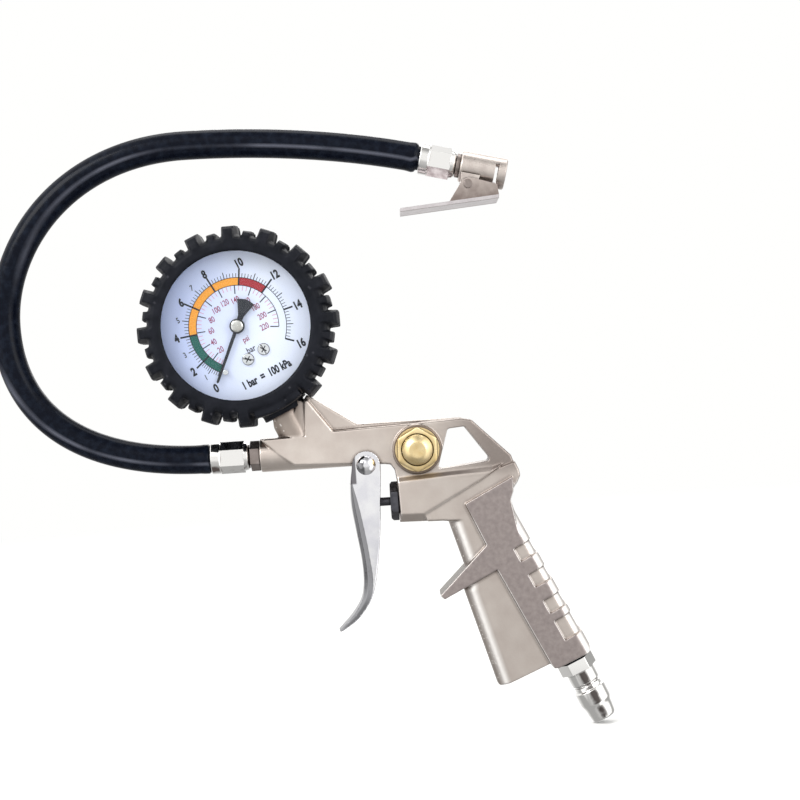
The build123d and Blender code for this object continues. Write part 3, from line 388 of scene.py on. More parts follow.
class Surface(Graph):
    """One procedural material, built round its Principled shader."""

    def __init__(self, name):
        self.material = bpy.data.materials.new(name)
        self.material.use_nodes = True
        super().__init__(self.material.node_tree)
        self.shader = self.tree.nodes["Principled BSDF"]
        self.output = self.tree.nodes["Material Output"].inputs["Surface"]
        self.place = self.add("ShaderNodeTexCoord").outputs["Object"]
        self.geometry = self.add("ShaderNodeNewGeometry").outputs
        self.facing = self.axes(self.geometry["Normal"])
        self.aside = self.math("ABSOLUTE", self.facing["Y"])
        self.depth = self.math("ABSOLUTE", self.axes(self.place)["Y"])

    def set(self, **inputs):
        for key, value in inputs.items():
            self.feed(self.shader.inputs[key.replace("_", " ")], value)

    def noise(self, size, detail=3.0):
        """Noise with features of about a given size in millimetres."""
        node = self.add("ShaderNodeTexNoise", Vector=self.place, Scale=1.0 / (size * MM), Detail=detail)
        return node.outputs["Fac"]

    def varied(self, value, limits, first, second):
        """Colour that goes from one to another as a value, mostly a noise, crosses its limits."""
        return self.mix(self.span(value, *limits), rgb(*first), rgb(*second))

    def tinted(self, tone, colour, strength, *shares):
        """Tone moved towards a colour where every share is 1."""
        return self.mix(self.product(*shares, strength), tone, rgb(*colour))

    def turned(self, axis, low, high):
        """0 to 1 as one part of the normal goes from low to high."""
        return self.span(self.facing[axis], low, high)

    def beside_port(self, axis, low, high):
        """0 to 1 between two stations of the gun frame."""
        origin = port_centre["XYZ".index(axis)]
        return self.span(self.axes(self.place)[axis], origin + low * MM, origin + high * MM)

    def outward(self, low, high):
        """0 to 1 between two distances in millimetres from the gun's middle plane."""
        return self.span(self.depth, low * MM, high * MM)

    def edge_wear(self, low, high):
        """1 on ridges and 0 on flats and in hollows, for finely divided meshes."""
        return self.span(self.geometry["Pointiness"], low, high)

    def bump(self, height, depth, under=None):
        """Surface relief of a given depth in millimetres."""
        node = self.add("ShaderNodeBump", Strength=1.0, Distance=depth * MM, Height=height)
        if under is not None:
            self.feed(node.inputs["Normal"], under)
        return node.outputs["Normal"]

    def crevice(self, reach, open_at, closed_at):
        """1 in corners and grooves narrower than a reach in millimetres, 0 on open faces."""
        node = self.add("ShaderNodeAmbientOcclusion", {"samples": 6}, Distance=reach * MM)
        return self.span(node.outputs["AO"], open_at, closed_at)

    def rounded(self, radius):
        """Normal that rounds the sharp edges of a machined part."""
        return self.add("ShaderNodeBevel", {"samples": 4}, Radius=radius * MM).outputs["Normal"]

    def metal(self, tone, smoothest, roughest, relief, edge):
        """Metal with fine marks in its roughness and relief, and softly rounded edges."""
        marks = self.noise(0.35)
        self.set(Base_Color=tone, Metallic=1.0, Roughness=self.span(marks, 0.3, 0.7, smoothest, roughest))
        self.set(Normal=self.bump(marks, relief, self.rounded(edge)))


def rgb(red, green, blue):
    return (red, green, blue, 1.0)


# ---- materials
# Where the casting's darker grip panel, painted highlights and painted shades lie: stations of the gun frame,
# and parts of the normal. Each pair is where one starts and where it is full.
PANEL_DEPTH = (8.35, 8.65)
FALL_X = (20.0, 80.0)
ARM_X, ARM_Z = (66.0, 88.0), (-13.5, -8.5)
NECK_X, NECK_Z = (18.5, 15.5), (6.2, 7.4)
NUT_RING, NUT_RING_Y = (9.9, 9.2), (-6.9, -7.1)
GRIP_Z = (-27.5, -31.0)
BACK_Z = (-14.0, -18.0)
SLOPE_FROM, SLOPE_TO, SLOPE_ASIDE = (0.42, 0.54), (0.72, 0.62), (0.3, 0.2)
LEFT_TURN, LEFT_LIFT = (-0.35, -0.6), (0.3, 0.5)
COLUMN_FROM, COLUMN_TO, COLUMN_LEVEL = (-0.08, -0.42), (-0.82, -0.50), (0.3, 0.15)
EDGE_ON_TURN = (-0.76, -0.86)
BACK_FROM, BACK_TO = (0.18, 0.42), (0.93, 0.80)
LIT_TURN = (-0.08, -0.25)
LIT_NICKEL = (1.0, 0.97, 0.94)


def cast_nickel():
    """Satin nickel over a die casting, mottled and darker on the raised grip panel, with painted highlights on
    ridges, down the grip's front and on the backstrap, and painted shade on upturned slopes, towards the arm, on
    the neck, on left-turned faces, round the nut and in hollows.
    """
    surface = Surface("cast_nickel")
    speckle = surface.noise(0.9, 4.0)
    tone = surface.varied(surface.noise(9.0, 5.0), (0.35, 0.65), (0.70, 0.62, 0.565), (0.79, 0.715, 0.655))
    panel = surface.outward(*PANEL_DEPTH)
    mottled = surface.varied(surface.noise(1.8, 8.0), (0.34, 0.68), (0.35, 0.30, 0.295), (0.46, 0.40, 0.385))
    tone = surface.mix(surface.product(panel, 0.9), tone, mottled)
    # painted shade: faces tilted upward and turned neither left nor right are darkened
    level = surface.span(surface.math("ABSOLUTE", surface.facing["X"]), *SLOPE_ASIDE)
    tone = surface.tinted(tone, (0.12, 0.09, 0.08), 0.9, level,
                          surface.turned("Z", *SLOPE_FROM), surface.turned("Z", *SLOPE_TO))
    # painted shade: the casting darkens from the barrel towards the grip
    tone = surface.tinted(tone, (0.10, 0.085, 0.08), 0.26, surface.beside_port("X", *FALL_X))
    # painted shade on the right arm
    tone = surface.tinted(tone, (0.20, 0.165, 0.15), 0.72,
                          surface.beside_port("X", *ARM_X), surface.beside_port("Z", *ARM_Z))
    # painted shade on the neck, which is also made rougher below
    neck = surface.product(surface.beside_port("X", *NECK_X), surface.beside_port("Z", *NECK_Z))
    tone = surface.tinted(tone, (0.24, 0.185, 0.15), 0.55, neck)
    # painted shade on faces turned to the left and slightly up
    tone = surface.tinted(tone, (0.17, 0.165, 0.15), 0.75,
                          surface.turned("X", *LEFT_TURN), surface.turned("Z", *LEFT_LIFT))

    # painted shadow: a dark ring on the casting round the release nut
    place = surface.axes(surface.place)
    flat_place = surface.add("ShaderNodeCombineXYZ", X=place["X"], Z=place["Z"]).outputs[0]
    nut = tuple(port_centre + Vector((NUT_CENTRE[0], 0.0, NUT_CENTRE[1])) * MM)
    from_nut = surface.pair("ShaderNodeVectorMath", "DISTANCE", flat_place, nut)["Value"]
    ring = surface.product(surface.span(from_nut, *(radius * MM for radius in NUT_RING)),
                           surface.beside_port("Y", *NUT_RING_Y))
    tone = surface.tinted(tone, (0.22, 0.16, 0.11), 0.8, ring)

    # painted highlight down the grip's rounded front, and painted shade where it turns edge-on
    grip = surface.beside_port("Z", *GRIP_Z)
    tone = surface.tinted(tone, LIT_NICKEL, 0.9, surface.turned("X", *COLUMN_FROM),
                          surface.turned("X", *COLUMN_TO), grip, surface.turned("Z", *COLUMN_LEVEL))
    tone = surface.tinted(tone, (0.20, 0.17, 0.155), 0.6, surface.turned("X", *EDGE_ON_TURN), grip)
    # painted highlight on the backstrap
    tone = surface.tinted(tone, (0.99, 0.97, 0.95), 0.7, surface.turned("X", *BACK_FROM),
                          surface.beside_port("Z", *BACK_Z), surface.turned("X", *BACK_TO))

    # painted highlights: ridges are lightened, most of all those turned to the left
    tone = surface.tinted(tone, LIT_NICKEL, 0.8,
                          surface.edge_wear(0.52, 0.56), surface.turned("X", *LIT_TURN))
    tone = surface.tinted(tone, (0.86, 0.80, 0.74), 0.4,
                          surface.edge_wear(0.53, 0.60), surface.math("SUBTRACT", 1.0, ring))
    # painted shade: hollows and creases are darkened
    hollow = surface.math("MAXIMUM", surface.edge_wear(0.492, 0.462), surface.crevice(1.6, 0.93, 0.62))
    tone = surface.tinted(tone, (0.12, 0.085, 0.07), 0.8, hollow)
    plain_rough = surface.span(speckle, 0.3, 0.7, 0.34, 0.46)
    rough = surface.mix(surface.math("MAXIMUM", panel, neck), plain_rough, 0.5)
    relief = surface.bump(surface.noise(0.22, 2.0), 0.012, surface.bump(speckle, 0.02))
    surface.set(Base_Color=tone, Metallic=1.0, Roughness=rough, Normal=relief)
    return surface.material


def plated(name, bright, dull, rough, relief=0.004, edge=0.12, shade_corners=True):
    """Plated or machined metal with faint stains and fine marks, and painted shade in its corners."""
    surface = Surface(name)
    tone = surface.varied(surface.noise(4.0, 5.0), (0.38, 0.66), bright, dull)
    if shade_corners:
        # painted shade: corners and grooves darken to a fifth of the bright tone
        corner_shade = tuple(0.2 * part for part in bright)
        tone = surface.mix(surface.crevice(1.2, 0.85, 0.5), tone, rgb(*corner_shade))
    surface.metal(tone, 0.75 * rough, 1.3 * rough, relief, edge)
    return surface.material


def streaked(name, dark, centre, inner, outer, rough, axis=None, start=0.0):
    """Bright plating with a painted reflection, the soft dark streak that a round part shows along its side, and
    painted shade in its corners.

    The streak is full within one angle of its middle direction and gone at another; with an axis
    through the frame's origin, it only shows beyond a station along it.
    """
    surface = Surface(name)
    wobble = surface.span(surface.noise(3.0), 0.3, 0.7, -0.015, 0.015)
    across = surface.math("ADD", surface.toward(surface.geometry["Normal"], centre), wobble)
    shade = surface.span(across, math.cos(math.radians(outer)), math.cos(math.radians(inner)))
    if axis is not None:
        beyond = surface.span(surface.toward(surface.place, axis), start * MM, (start + 0.8) * MM)
        shade = surface.product(shade, beyond)
    # painted shade in corners and grooves
    shade = surface.math("MAXIMUM", shade, surface.crevice(1.2, 0.85, 0.45))
    tone = surface.mix(shade, rgb(0.98, 0.97, 0.95), rgb(*dark))
    surface.metal(tone, 0.75 * rough, 1.3 * rough, 0.003, 0.12)
    return surface.material


def pressed_nickel():
    """Satin nickel over pressed sheet: brownish and shaded on the two ears, paler on the tail."""
    surface = Surface("pressed_nickel")
    cloud = surface.noise(3.5, 5.0)
    ear = surface.product(surface.outward(*EAR_INSIDE), surface.outward(*EAR_OUTSIDE))
    uneven = surface.span(cloud, 0.3, 0.7, -0.25, 0.25)
    shade = surface.math("ADD", surface.beside_port("Z", *EAR_SHADE_Z), uneven)
    brown = surface.mix(shade, rgb(0.27, 0.22, 0.20), rgb(0.58, 0.51, 0.47))
    tail = surface.varied(cloud, (0.35, 0.65), (0.72, 0.68, 0.69), (0.62, 0.58, 0.59))
    surface.metal(surface.mix(ear, tail, brown), 0.26, 0.4, 0.006, 0.15)
    return surface.material


# Where the trigger's painted reflection and painted shades lie: stations of the gun frame, and parts of the
# normal.
FACET_ASIDE, FACET_TURN = (0.985, 0.965), (-0.05, -0.2)
EAR_FRONT_X, EAR_FRONT_Z = (36.5, 36.1), (-13.2, -12.6)
CHANNEL_DEPTH = (4.6, 4.2)


def chrome():
    """Bright chrome over a pressing: mirror-like, with waves and pits, a painted darker reflection on its front
    facet, and painted shade on the ears' front, on ridges and near its middle plane.
    """
    surface = Surface("chrome")
    wave = surface.noise(6.0, 2.0)
    pits = surface.span(surface.noise(0.5, 2.0), 0.66, 0.74)
    tone = surface.varied(wave, (0.35, 0.65), (0.96, 0.96, 0.98), (0.84, 0.84, 0.89))
    # painted reflection: the front facet is greyer
    facet = surface.product(surface.span(surface.aside, *FACET_ASIDE), surface.turned("X", *FACET_TURN))
    grey = surface.varied(surface.aside, (0.55, 0.92), (0.50, 0.50, 0.52), (0.20, 0.20, 0.21))
    tone = surface.mix(facet, tone, grey)
    # painted shade on the front of the ears
    tone = surface.tinted(tone, (0.10, 0.09, 0.10), 0.85,
                          surface.beside_port("X", *EAR_FRONT_X), surface.beside_port("Z", *EAR_FRONT_Z))
    # painted shade on ridges
    tone = surface.tinted(tone, (0.16, 0.15, 0.16), 0.8, surface.edge_wear(0.54, 0.62))
    # painted shade: darker within 4.2 to 4.6 mm of the trigger's middle plane
    tone = surface.tinted(tone, (0.3, 0.3, 0.31), 0.5, surface.outward(*CHANNEL_DEPTH))
    relief = surface.bump(wave, 0.05, surface.bump(pits, -0.01))
    surface.set(Base_Color=tone, Metallic=1.0, Roughness=surface.mix(pits, 0.08, 0.3), Normal=relief)
    return surface.material


# Parts of the normal between which the hose shows its painted sheen.
SHEEN_FROM, SHEEN_TO, SHEEN_AHEAD = (-0.12, -0.27), (-0.46, -0.30), (-0.5, -0.8)


def hose_rubber():
    """Gloss black hose cover with a patchy painted line of sheen and slight waves."""
    surface = Surface("hose_rubber")
    dust = surface.noise(2.5, 4.0)
    tone = surface.varied(dust, (0.4, 0.75), (0.003, 0.004, 0.008), (0.007, 0.010, 0.018))
    # painted sheen: a lighter line in the base colour
    sheen = surface.product(surface.turned("Z", *SHEEN_FROM), surface.turned("Z", *SHEEN_TO),
                            surface.turned("Y", *SHEEN_AHEAD),
                            surface.span(surface.noise(26.0, 2.0), 0.36, 0.6, 0.15, 0.9))
    surface.set(Base_Color=surface.mix(sheen, tone, rgb(0.085, 0.09, 0.115)))
    surface.set(Roughness=surface.span(dust, 0.35, 0.7, 0.20, 0.32), Specular_IOR_Level=0.06)
    surface.set(Coat_Weight=0.035, Coat_Roughness=0.12)
    surface.set(Normal=surface.bump(surface.noise(5.0, 2.0), 0.06))
    return surface.material


def moulded_rubber(name, edge=None):
    """Matt black moulded rubber with a fine grain; without a shaded edge, greyer on ridges."""
    surface = Surface(name)
    grain = surface.noise(0.25)
    tone = surface.varied(surface.noise(5.0, 4.0), (0.35, 0.7), (0.005, 0.006, 0.009), (0.011, 0.012, 0.017))
    if edge is None:
        tone = surface.tinted(tone, (0.05, 0.05, 0.06), 0.5, surface.edge_wear(0.53, 0.62))
    surface.set(Base_Color=tone, Roughness=surface.span(grain, 0.3, 0.7, 0.42, 0.6), Specular_IOR_Level=0.1)
    surface.set(Normal=surface.bump(grain, 0.02, surface.rounded(edge) if edge else None))
    return surface.material


def dial_enamel():
    """White dial with a cool tint that deepens towards its left side."""
    surface = Surface("dial_enamel")
    fine = surface.noise(0.4, 2.0)
    across = surface.span(surface.axes(surface.place)["X"],
                          gauge_centre.x - 26.0 * MM, gauge_centre.x + 12.0 * MM)
    light = surface.math("ADD", across, surface.span(surface.noise(30.0, 1.0), 0.3, 0.7, -0.12, 0.12))
    tone = surface.mix(light, rgb(0.56, 0.62, 0.86), rgb(0.86, 0.88, 0.98))
    surface.set(Base_Color=tone, Roughness=surface.span(fine, 0.3, 0.7, 0.32, 0.4))
    surface.set(Normal=surface.bump(fine, 0.003))
    return surface.material


def ink(name, colour):
    """Screen-printed ink: slightly uneven cover and a low sheen."""
    surface = Surface(name)
    cover = surface.noise(0.6)
    lighter = tuple(min(1.0, part * 1.15 + 0.01) for part in colour)
    surface.set(Base_Color=surface.varied(cover, (0.35, 0.7), colour, lighter))
    surface.set(Roughness=0.5, Normal=surface.bump(cover, 0.004))
    return surface.material


def black_enamel():
    """Gloss black paint with a little orange peel."""
    surface = Surface("black_enamel")
    fine = surface.noise(3.0, 4.0)
    surface.set(Base_Color=surface.varied(fine, (0.35, 0.7), (0.016, 0.017, 0.021), (0.03, 0.031, 0.037)))
    surface.set(Roughness=surface.span(fine, 0.35, 0.7, 0.28, 0.4))
    surface.set(Normal=surface.bump(surface.noise(0.7, 2.0), 0.01, surface.rounded(0.1)))
    return surface.material


def window_glass():
    """Clear window that lets light and shadow straight through and keeps a thin reflection."""
    surface = Surface("window_glass")
    dust = surface.noise(1.5, 4.0)
    clear = surface.add("ShaderNodeBsdfTransparent", Color=rgb(0.97, 0.985, 1.0))
    gloss = surface.add("ShaderNodeBsdfGlossy", Roughness=surface.span(dust, 0.4, 0.8, 0.03, 0.10))
    share = surface.product(surface.add("ShaderNodeFresnel", IOR=1.3).outputs[0], 0.4)
    surface.join_shaders(share, clear, gloss, surface.output)
    return surface.material


FINISH = {
    "cast_nickel": cast_nickel(),
    "chuck_nickel": plated("chuck_nickel", (0.74, 0.67, 0.62), (0.62, 0.55, 0.51), 0.33, relief=0.006),
    "dark_nickel": plated("dark_nickel", (0.36, 0.31, 0.29), (0.26, 0.22, 0.20), 0.35),
    "chrome": chrome(),
    "bright_steel": plated("bright_steel", (0.97, 0.96, 0.94), (0.86, 0.85, 0.82), 0.13),
    "dark_steel": plated("dark_steel", (0.11, 0.11, 0.125), (0.06, 0.06, 0.07), 0.42),
    "spring_steel": plated("spring_steel", (0.55, 0.55, 0.56), (0.38, 0.38, 0.40), 0.28, edge=0.05),
    "brass": plated("brass", (0.90, 0.73, 0.42), (0.78, 0.59, 0.29), 0.34),
    "rubber": moulded_rubber("small_rubber", edge=0.15),
    "case_paint": black_enamel(),
    "dial_paint": dial_enamel(),
    "window": window_glass(),
}


def finish_cad_nodes():
    """Every CAD node takes the material of its slot."""
    for node, slot in slot_of.items():
        paint(frame["nodes"][node], FINISH[slot])


# ---- gun casting
NECK_WEB = ((12.2, 4.0), (17.8, 6.0), (18.2, 19.6), (15.6, 20.6), (13.4, 12.0))
NECK_WEB_HALF = 6.0


def build_casting():
    """Whole casting with eased edges, and a web that leads the neck into the side plate."""
    bm = bmesh.new()
    add_slab(bm, NECK_WEB, -NECK_WEB_HALF, NECK_WEB_HALF)
    web = finish_mesh(bm, "neck_web", GUN)
    bm = bmesh.new()
    bm.from_mesh(cad_copy("gun_body"))
    bm.from_mesh(web)
    add_piece("gun_casting", softened("casting", to_mesh(bm, "casting"), 0.23, 12), "gun_body")


# ---- trigger
# front point, back point, half width at the back and front, and where the crease lies between them
TRIGGER_STATIONS = (
    ((35.0, 0.0), (45.6, 0.0), 8.7, 8.4, 0.03), ((34.9, -6.2), (45.6, -6.0), 8.7, 8.4, 0.03),
    ((34.0, -12.4), (45.3, -12.0), 8.7, 8.1, 0.06), ((33.8, -20.8), (44.6, -20.8), 8.7, 6.5, 0.24),
    ((35.0, -31.0), (44.0, -31.0), 8.2, 5.8, 0.34), ((36.4, -42.0), (42.6, -42.6), 7.5, 5.2, 0.48),
    ((36.6, -50.6), (41.0, -51.6), 6.8, 4.8, 0.73), ((35.4, -57.0), (38.4, -58.4), 6.3, 4.7, 0.93),
    ((31.8, -62.6), (33.7, -64.4), 5.7, 4.6, 0.93), ((27.6, -67.0), (28.4, -68.2), 4.6, 4.0, 0.93),
    ((25.9, -68.6), (26.3, -69.3), 3.9, 3.4, 0.93),
)
LARGEST_CREASE = 0.93
TRIGGER_WALL = 1.7
EAR_INNER = 7.05
EAR_OUTER = 8.8
EAR_RADIUS = 5.3
RIVET_HOLE = 2.05
EAR_FOOT = -12.9                # the gap between the ears is cut down to here
CUT_LEFT, CUT_RIGHT, CUT_TOP = 30.0, 50.0, 6.0


def smooth_through(rows, per_span):
    """Catmull-Rom interpolation of equal rows of numbers."""
    rows = [np.array(row, float) for row in rows]
    ends = [2 * rows[0] - rows[1], *rows, 2 * rows[-1] - rows[-2]]
    result = []
    for index in range(len(rows) - 1):
        before, start, end, after = ends[index:index + 4]
        for step in range(per_span):
            t = step / per_span
            result.append(0.5 * (2 * start + (end - before) * t
                                 + (2 * before - 5 * start + 4 * end - after) * t * t
                                 + (3 * start - before - 3 * end + after) * t ** 3))
    result.append(rows[-1])
    return result


def channel_section(front, back, half, front_half, crease_share):
    """U-shaped loop of the trigger: crowned front wall, crease, and two side walls."""
    length = math.dist(front, back)
    along = ((back[0] - front[0]) / length, (back[1] - front[1]) / length)
    crease = crease_share * length
    crown = 0.5
    flank = [(length, half - 0.35), (0.8 * length + 0.2 * crease, half - 0.08),
             (0.5 * (length + crease), half + 0.1), (0.2 * length + 0.8 * crease, half + 0.08),
             (crease, half)]
    if crease > 0.6:
        flank.append((0.45 * crease, front_half + 0.66 * (half - front_half)))
    else:
        flank.append((0.5 * crease, half - 0.02))
    outer = [(u, -v) for u, v in flank]
    for share in (-1.0, -0.5, 0.0, 0.5, 1.0):
        outer.append((crown * (share * share - 1.0), share * front_half))
    outer += reversed(flank)
    wall = min(TRIGGER_WALL, 0.75 * length)
    shoulder = min(max(crease, wall) + 0.2, length - 0.05)
    inner_half = min(front_half - 1.0, half - TRIGGER_WALL - 0.05)
    inner = [(length, half - TRIGGER_WALL), (shoulder, half - TRIGGER_WALL), (wall, inner_half),
             (wall, -inner_half), (shoulder, TRIGGER_WALL - half), (length, TRIGGER_WALL - half)]
    return [(front[0] + u * along[0], v, front[1] + u * along[1]) for u, v in outer + inner]


def build_trigger():
    bm = bmesh.new()
    rows = [(*front, *back, half, front_half, crease)
            for front, back, half, front_half, crease in TRIGGER_STATIONS]
    loops = []
    for fx, fz, bx, bz, half, front_half, crease in smooth_through(rows, 8):
        loops.append(channel_section((fx, fz), (bx, bz), half, front_half, min(crease, LARGEST_CREASE)))
    add_loops(bm, loops)
    blade = finish_mesh(bm, "trigger", GUN)

    through = 2 * EAR_OUTER
    arc = circle_points((PIVOT_X, PIVOT_Z), EAR_RADIUS, range(180, -1, -12))
    shoulders = [(CUT_LEFT, PIVOT_Z), *arc, (CUT_RIGHT, PIVOT_Z), (CUT_RIGHT, CUT_TOP), (CUT_LEFT, CUT_TOP)]
    gap = [(CUT_LEFT, EAR_FOOT), (CUT_RIGHT, EAR_FOOT), (CUT_RIGHT, CUT_TOP), (CUT_LEFT, CUT_TOP)]
    rim = circle_points((PIVOT_X, PIVOT_Z), RIVET_HOLE, range(0, 360, 10))
    cutters = []
    for name, outline, half in (("ear_gap", gap, EAR_INNER), ("ear_ends", shoulders, through),
                                ("rivet_hole", rim, through)):
        cutter = bmesh.new()
        add_slab(cutter, outline, -half, half)
        cutters.append(finish_mesh(cutter, name, GUN))
    add_piece("trigger_blade", softened("trigger_blade", blade, 0.18, 7, cutters), "trigger")


# ---- hose
def bezier(start, start_handle, end_handle, end, steps):
    points = []
    for index in range(1, steps + 1):
        t = index / steps
        weights = ((1 - t) ** 3, 3 * t * (1 - t) ** 2, 3 * t * t * (1 - t), t ** 3)
        corners = (start, start_handle, end_handle, end)
        points.append(tuple(sum(w * c[axis] for w, c in zip(weights, corners)) for axis in (0, 1)))
    return points


def straight(start, end, steps):
    return [(start[0] + (end[0] - start[0]) * index / steps, start[1] + (end[1] - start[1]) * index / steps)
            for index in range(1, steps + 1)]


def hose_centreline():
    points = [HOSE_START] + straight(HOSE_START, HOSE_KNOTS[0][0], 30)
    for knot, following in zip(HOSE_KNOTS, HOSE_KNOTS[1:]):
        first, heading, _, reach = knot
        last, last_heading, last_reach, _ = following
        leave = polar(reach, heading)
        arrive = polar(last_reach, last_heading)
        points += bezier(first, (first[0] + leave[0], first[1] + leave[1]),
                         (last[0] - arrive[0], last[1] - arrive[1]), last, 90)
    return points + straight(HOSE_KNOTS[-1][0], HOSE_END, 30)


def hose_radius(from_start, from_end):
    """Outer radius: crimped inside each ferrule, swollen just outside it, plain between."""
    distance = min(from_start, from_end) - HOSE_COVERED
    if distance < 0.0:
        return CRIMPED_RADIUS
    rise = min(1.0, distance / HOSE_RISE)
    swell = HOSE_SWELL * math.exp(-((distance - SWELL_WIDTH) / SWELL_WIDTH) ** 2)
    return CRIMPED_RADIUS + (HOSE_RADIUS - CRIMPED_RADIUS) * math.sin(rise * math.pi / 2) + swell


def build_hose():
    points = [Vector((x, 0.0, z)) for x, z in hose_centreline()]
    gaps = [0.0] + [(after - before).length for before, after in zip(points, points[1:])]
    stations = list(np.cumsum(gaps))
    loops = []
    for index, point in enumerate(points):
        before = points[max(0, index - 1)]
        after = points[min(len(points) - 1, index + 1)]
        along = (after - before).normalized()
        across = Vector((-along.z, 0.0, along.x))
        radius = hose_radius(stations[index], stations[-1] - stations[index])
        loop = []
        for step in range(HOSE_SIDES):
            turn = 2 * math.pi * step / HOSE_SIDES
            loop.append(point + radius * (math.cos(turn) * across + math.sin(turn) * Vector((0, 1, 0))))
        loops.append(loop)
    bm = bmesh.new()
    add_loops(bm, loops)
    mesh = finish_mesh(bm, "hose_cover", GUN)
    mesh.shade_smooth()
    add_piece("hose_cover", mesh, "hose", hose_rubber())


# ---- gauge boot
def add_lug(bm, angle, stations):
    """Tread block through (y, radius, half width) stations, with sloped ends and sides."""
    root = BOOT_RADIUS - 3.0
    loops = []
    for y, radius, half in stations:
        wide, narrow = math.degrees((half + 0.5) / root), math.degrees(half / radius)
        corners = ((root, angle - wide), (radius, angle - narrow),
                   (radius, angle + narrow), (root, angle + wide))
        loops.append([(polar(*corner)[0], y, polar(*corner)[1]) for corner in corners])
    add_loops(bm, loops)


def add_upright_tube(bm, radius, low, high):
    """Closed cylinder round the gauge frame's Z axis."""
    add_loops(bm, [[(*polar(radius, turn), z) for turn in range(0, 360, 10)] for z in (low, high)])


def build_boot():
    """Ring round the gauge with two rows of tread lugs, and a saddle and collar over the stem."""
    bm = bmesh.new()
    profile = [(-18.45, WINDOW_RADIUS), (-19.2, WINDOW_RADIUS), (-19.8, 28.2), (BOOT_FRONT, 28.9),
               (BOOT_FRONT, 30.9), (-19.5, 32.0), (-17.6, 33.1), (-14.0, BOOT_RADIUS), (9.0, BOOT_RADIUS),
               (11.2, 33.0), (BOOT_BACK, 31.6), (BOOT_BACK, 24.6), (11.2, 24.0), (9.75, 24.0),
               (9.75, 32.05), (-18.45, 32.05)]
    add_lathe(bm, (0.0, 0.0), profile, closed=True, segments=180)
    for big, small in ((FRONT_BIG_LUG, FRONT_SMALL_LUG), (BACK_BIG_LUG, BACK_SMALL_LUG)):
        for index in range(1, 16):
            add_lug(bm, STEM_ANGLE + index * LUG_STEP, big)
        for index in range(14):
            add_lug(bm, STEM_ANGLE + (index + 1.5) * LUG_STEP, small)
    saddle = ((-18.4, 33.0), (-18.4, SADDLE_RADIUS - 0.7), (-17.4, SADDLE_RADIUS),
              (9.0, SADDLE_RADIUS), (9.9, SADDLE_RADIUS - 0.7), (9.9, 33.0))
    add_loops(bm, [turned_section(saddle, STEM_ANGLE + 2.0 * step) for step in range(-8, 9)])
    # the collar continues the boot over the stem; its dark rubber also stands in for the shade where the boot
    # meets the neck
    add_upright_tube(bm, COLLAR_RADIUS, -36.9, -33.0)
    hole = bmesh.new()
    add_upright_tube(hole, STEM_HOLE_RADIUS, -44.0, -30.0)
    mesh = softened("boot", finish_mesh(bm, "boot", GAUGE), 0.4, 4, [finish_mesh(hole, "stem_hole", GAUGE)])
    add_piece("gauge_boot", mesh, "rubber_boot", moulded_rubber("boot_rubber"))


# ---- dial printing
def bar_angle(bar):
    if bar < 2.0:
        return ZERO_ANGLE + (TWO_BAR_ANGLE - ZERO_ANGLE) * bar / 2.0
    return TWO_BAR_ANGLE - DEGREES_PER_BAR * (bar - 2.0)


def psi_angle(psi):
    return bar_angle(psi / PSI_PER_BAR)


def add_stroke(bm, start, end, width, near, far):
    """Straight printed line between two points."""
    angle = math.degrees(math.atan2(end[1] - start[1], end[0] - start[0]))
    ax, az = polar(width / 2, angle + 90.0)
    add_slab(bm, [(start[0] - ax, start[1] - az), (end[0] - ax, end[1] - az),
                  (end[0] + ax, end[1] + az), (start[0] + ax, start[1] + az)], near, far)


def add_tick(bm, angle, inner, outer, width):
    """Radial printed mark."""
    add_stroke(bm, polar(inner, angle), polar(outer, angle), width, INK_FRONT, DIAL_FACE)


def add_text(bm, words, centre, height, squeeze, weight):
    """Raised lettering, upright in the gauge frame, with its middle at a point."""
    curve = bpy.data.curves.new("lettering", "FONT")
    curve.body = words
    curve.size = 1.0
    curve.resolution_u = 3
    curve.offset = weight
    curve.extrude = LETTER_HALF_DEPTH
    letters = evaluated_copy(add_object("lettering", curve))
    points = np.array([vertex.co for vertex in letters.vertices])
    middle = (points.min(0) + points.max(0)) / 2
    scale = height / DIGIT_HEIGHT
    place = Matrix(((squeeze * scale, 0, 0, centre[0] - squeeze * scale * middle[0]),
                    (0, 0, -PRINT_RISE / LETTER_HALF_DEPTH, DIAL_FACE - PRINT_RISE),
                    (0, scale, 0, centre[1] - scale * middle[1]),
                    (0, 0, 0, 1)))
    letters.transform(place)
    bm.from_mesh(letters)
    bpy.data.meshes.remove(letters)
    bpy.data.curves.remove(curve)


def printed(name, bm, colour):
    add_piece(name, finish_mesh(bm, name, GAUGE), "gauge_dial", ink(name + "_ink", colour), replace=False)


def build_bands():
    bands = (("dial_band_green", 0.0, 4.0, (0.012, 0.11, 0.085)),
             ("dial_band_orange", 4.0, 10.0, (0.87, 0.34, 0.035)),
             ("dial_band_red", 10.0, 12.0, (0.38, 0.022, 0.03)))
    for name, start, end, colour in bands:
        bm = bmesh.new()
        add_arc_band(bm, BAND_INNER, BAND_OUTER, bar_angle(start), bar_angle(end),
                     DIAL_FACE - PRINT_RISE, DIAL_FACE)
        printed(name, bm, colour)


def add_screw_print(bm, angle):
    """Painted shade of a dial screw: dark cross slots on its head in place of recessed slots, and a painted shadow
    ring on the dial round it.
    """
    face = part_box("dial_screws")[0].y / MM - SLOT_RISE
    x, z = polar(SCREW_CIRCLE, angle)
    for turn in SLOT_TURNS:
        ux, uz = polar(SLOT_HALF, turn)
        add_stroke(bm, (x - ux, z - uz), (x + ux, z + uz), SLOT_WIDTH, face, face + 0.1)
    inner, outer = SCREW_RING
    ring = [(INK_FRONT, inner), (INK_FRONT, outer), (DIAL_FACE, outer), (DIAL_FACE, inner)]
    add_lathe(bm, (x, z), ring, closed=True, segments=30)


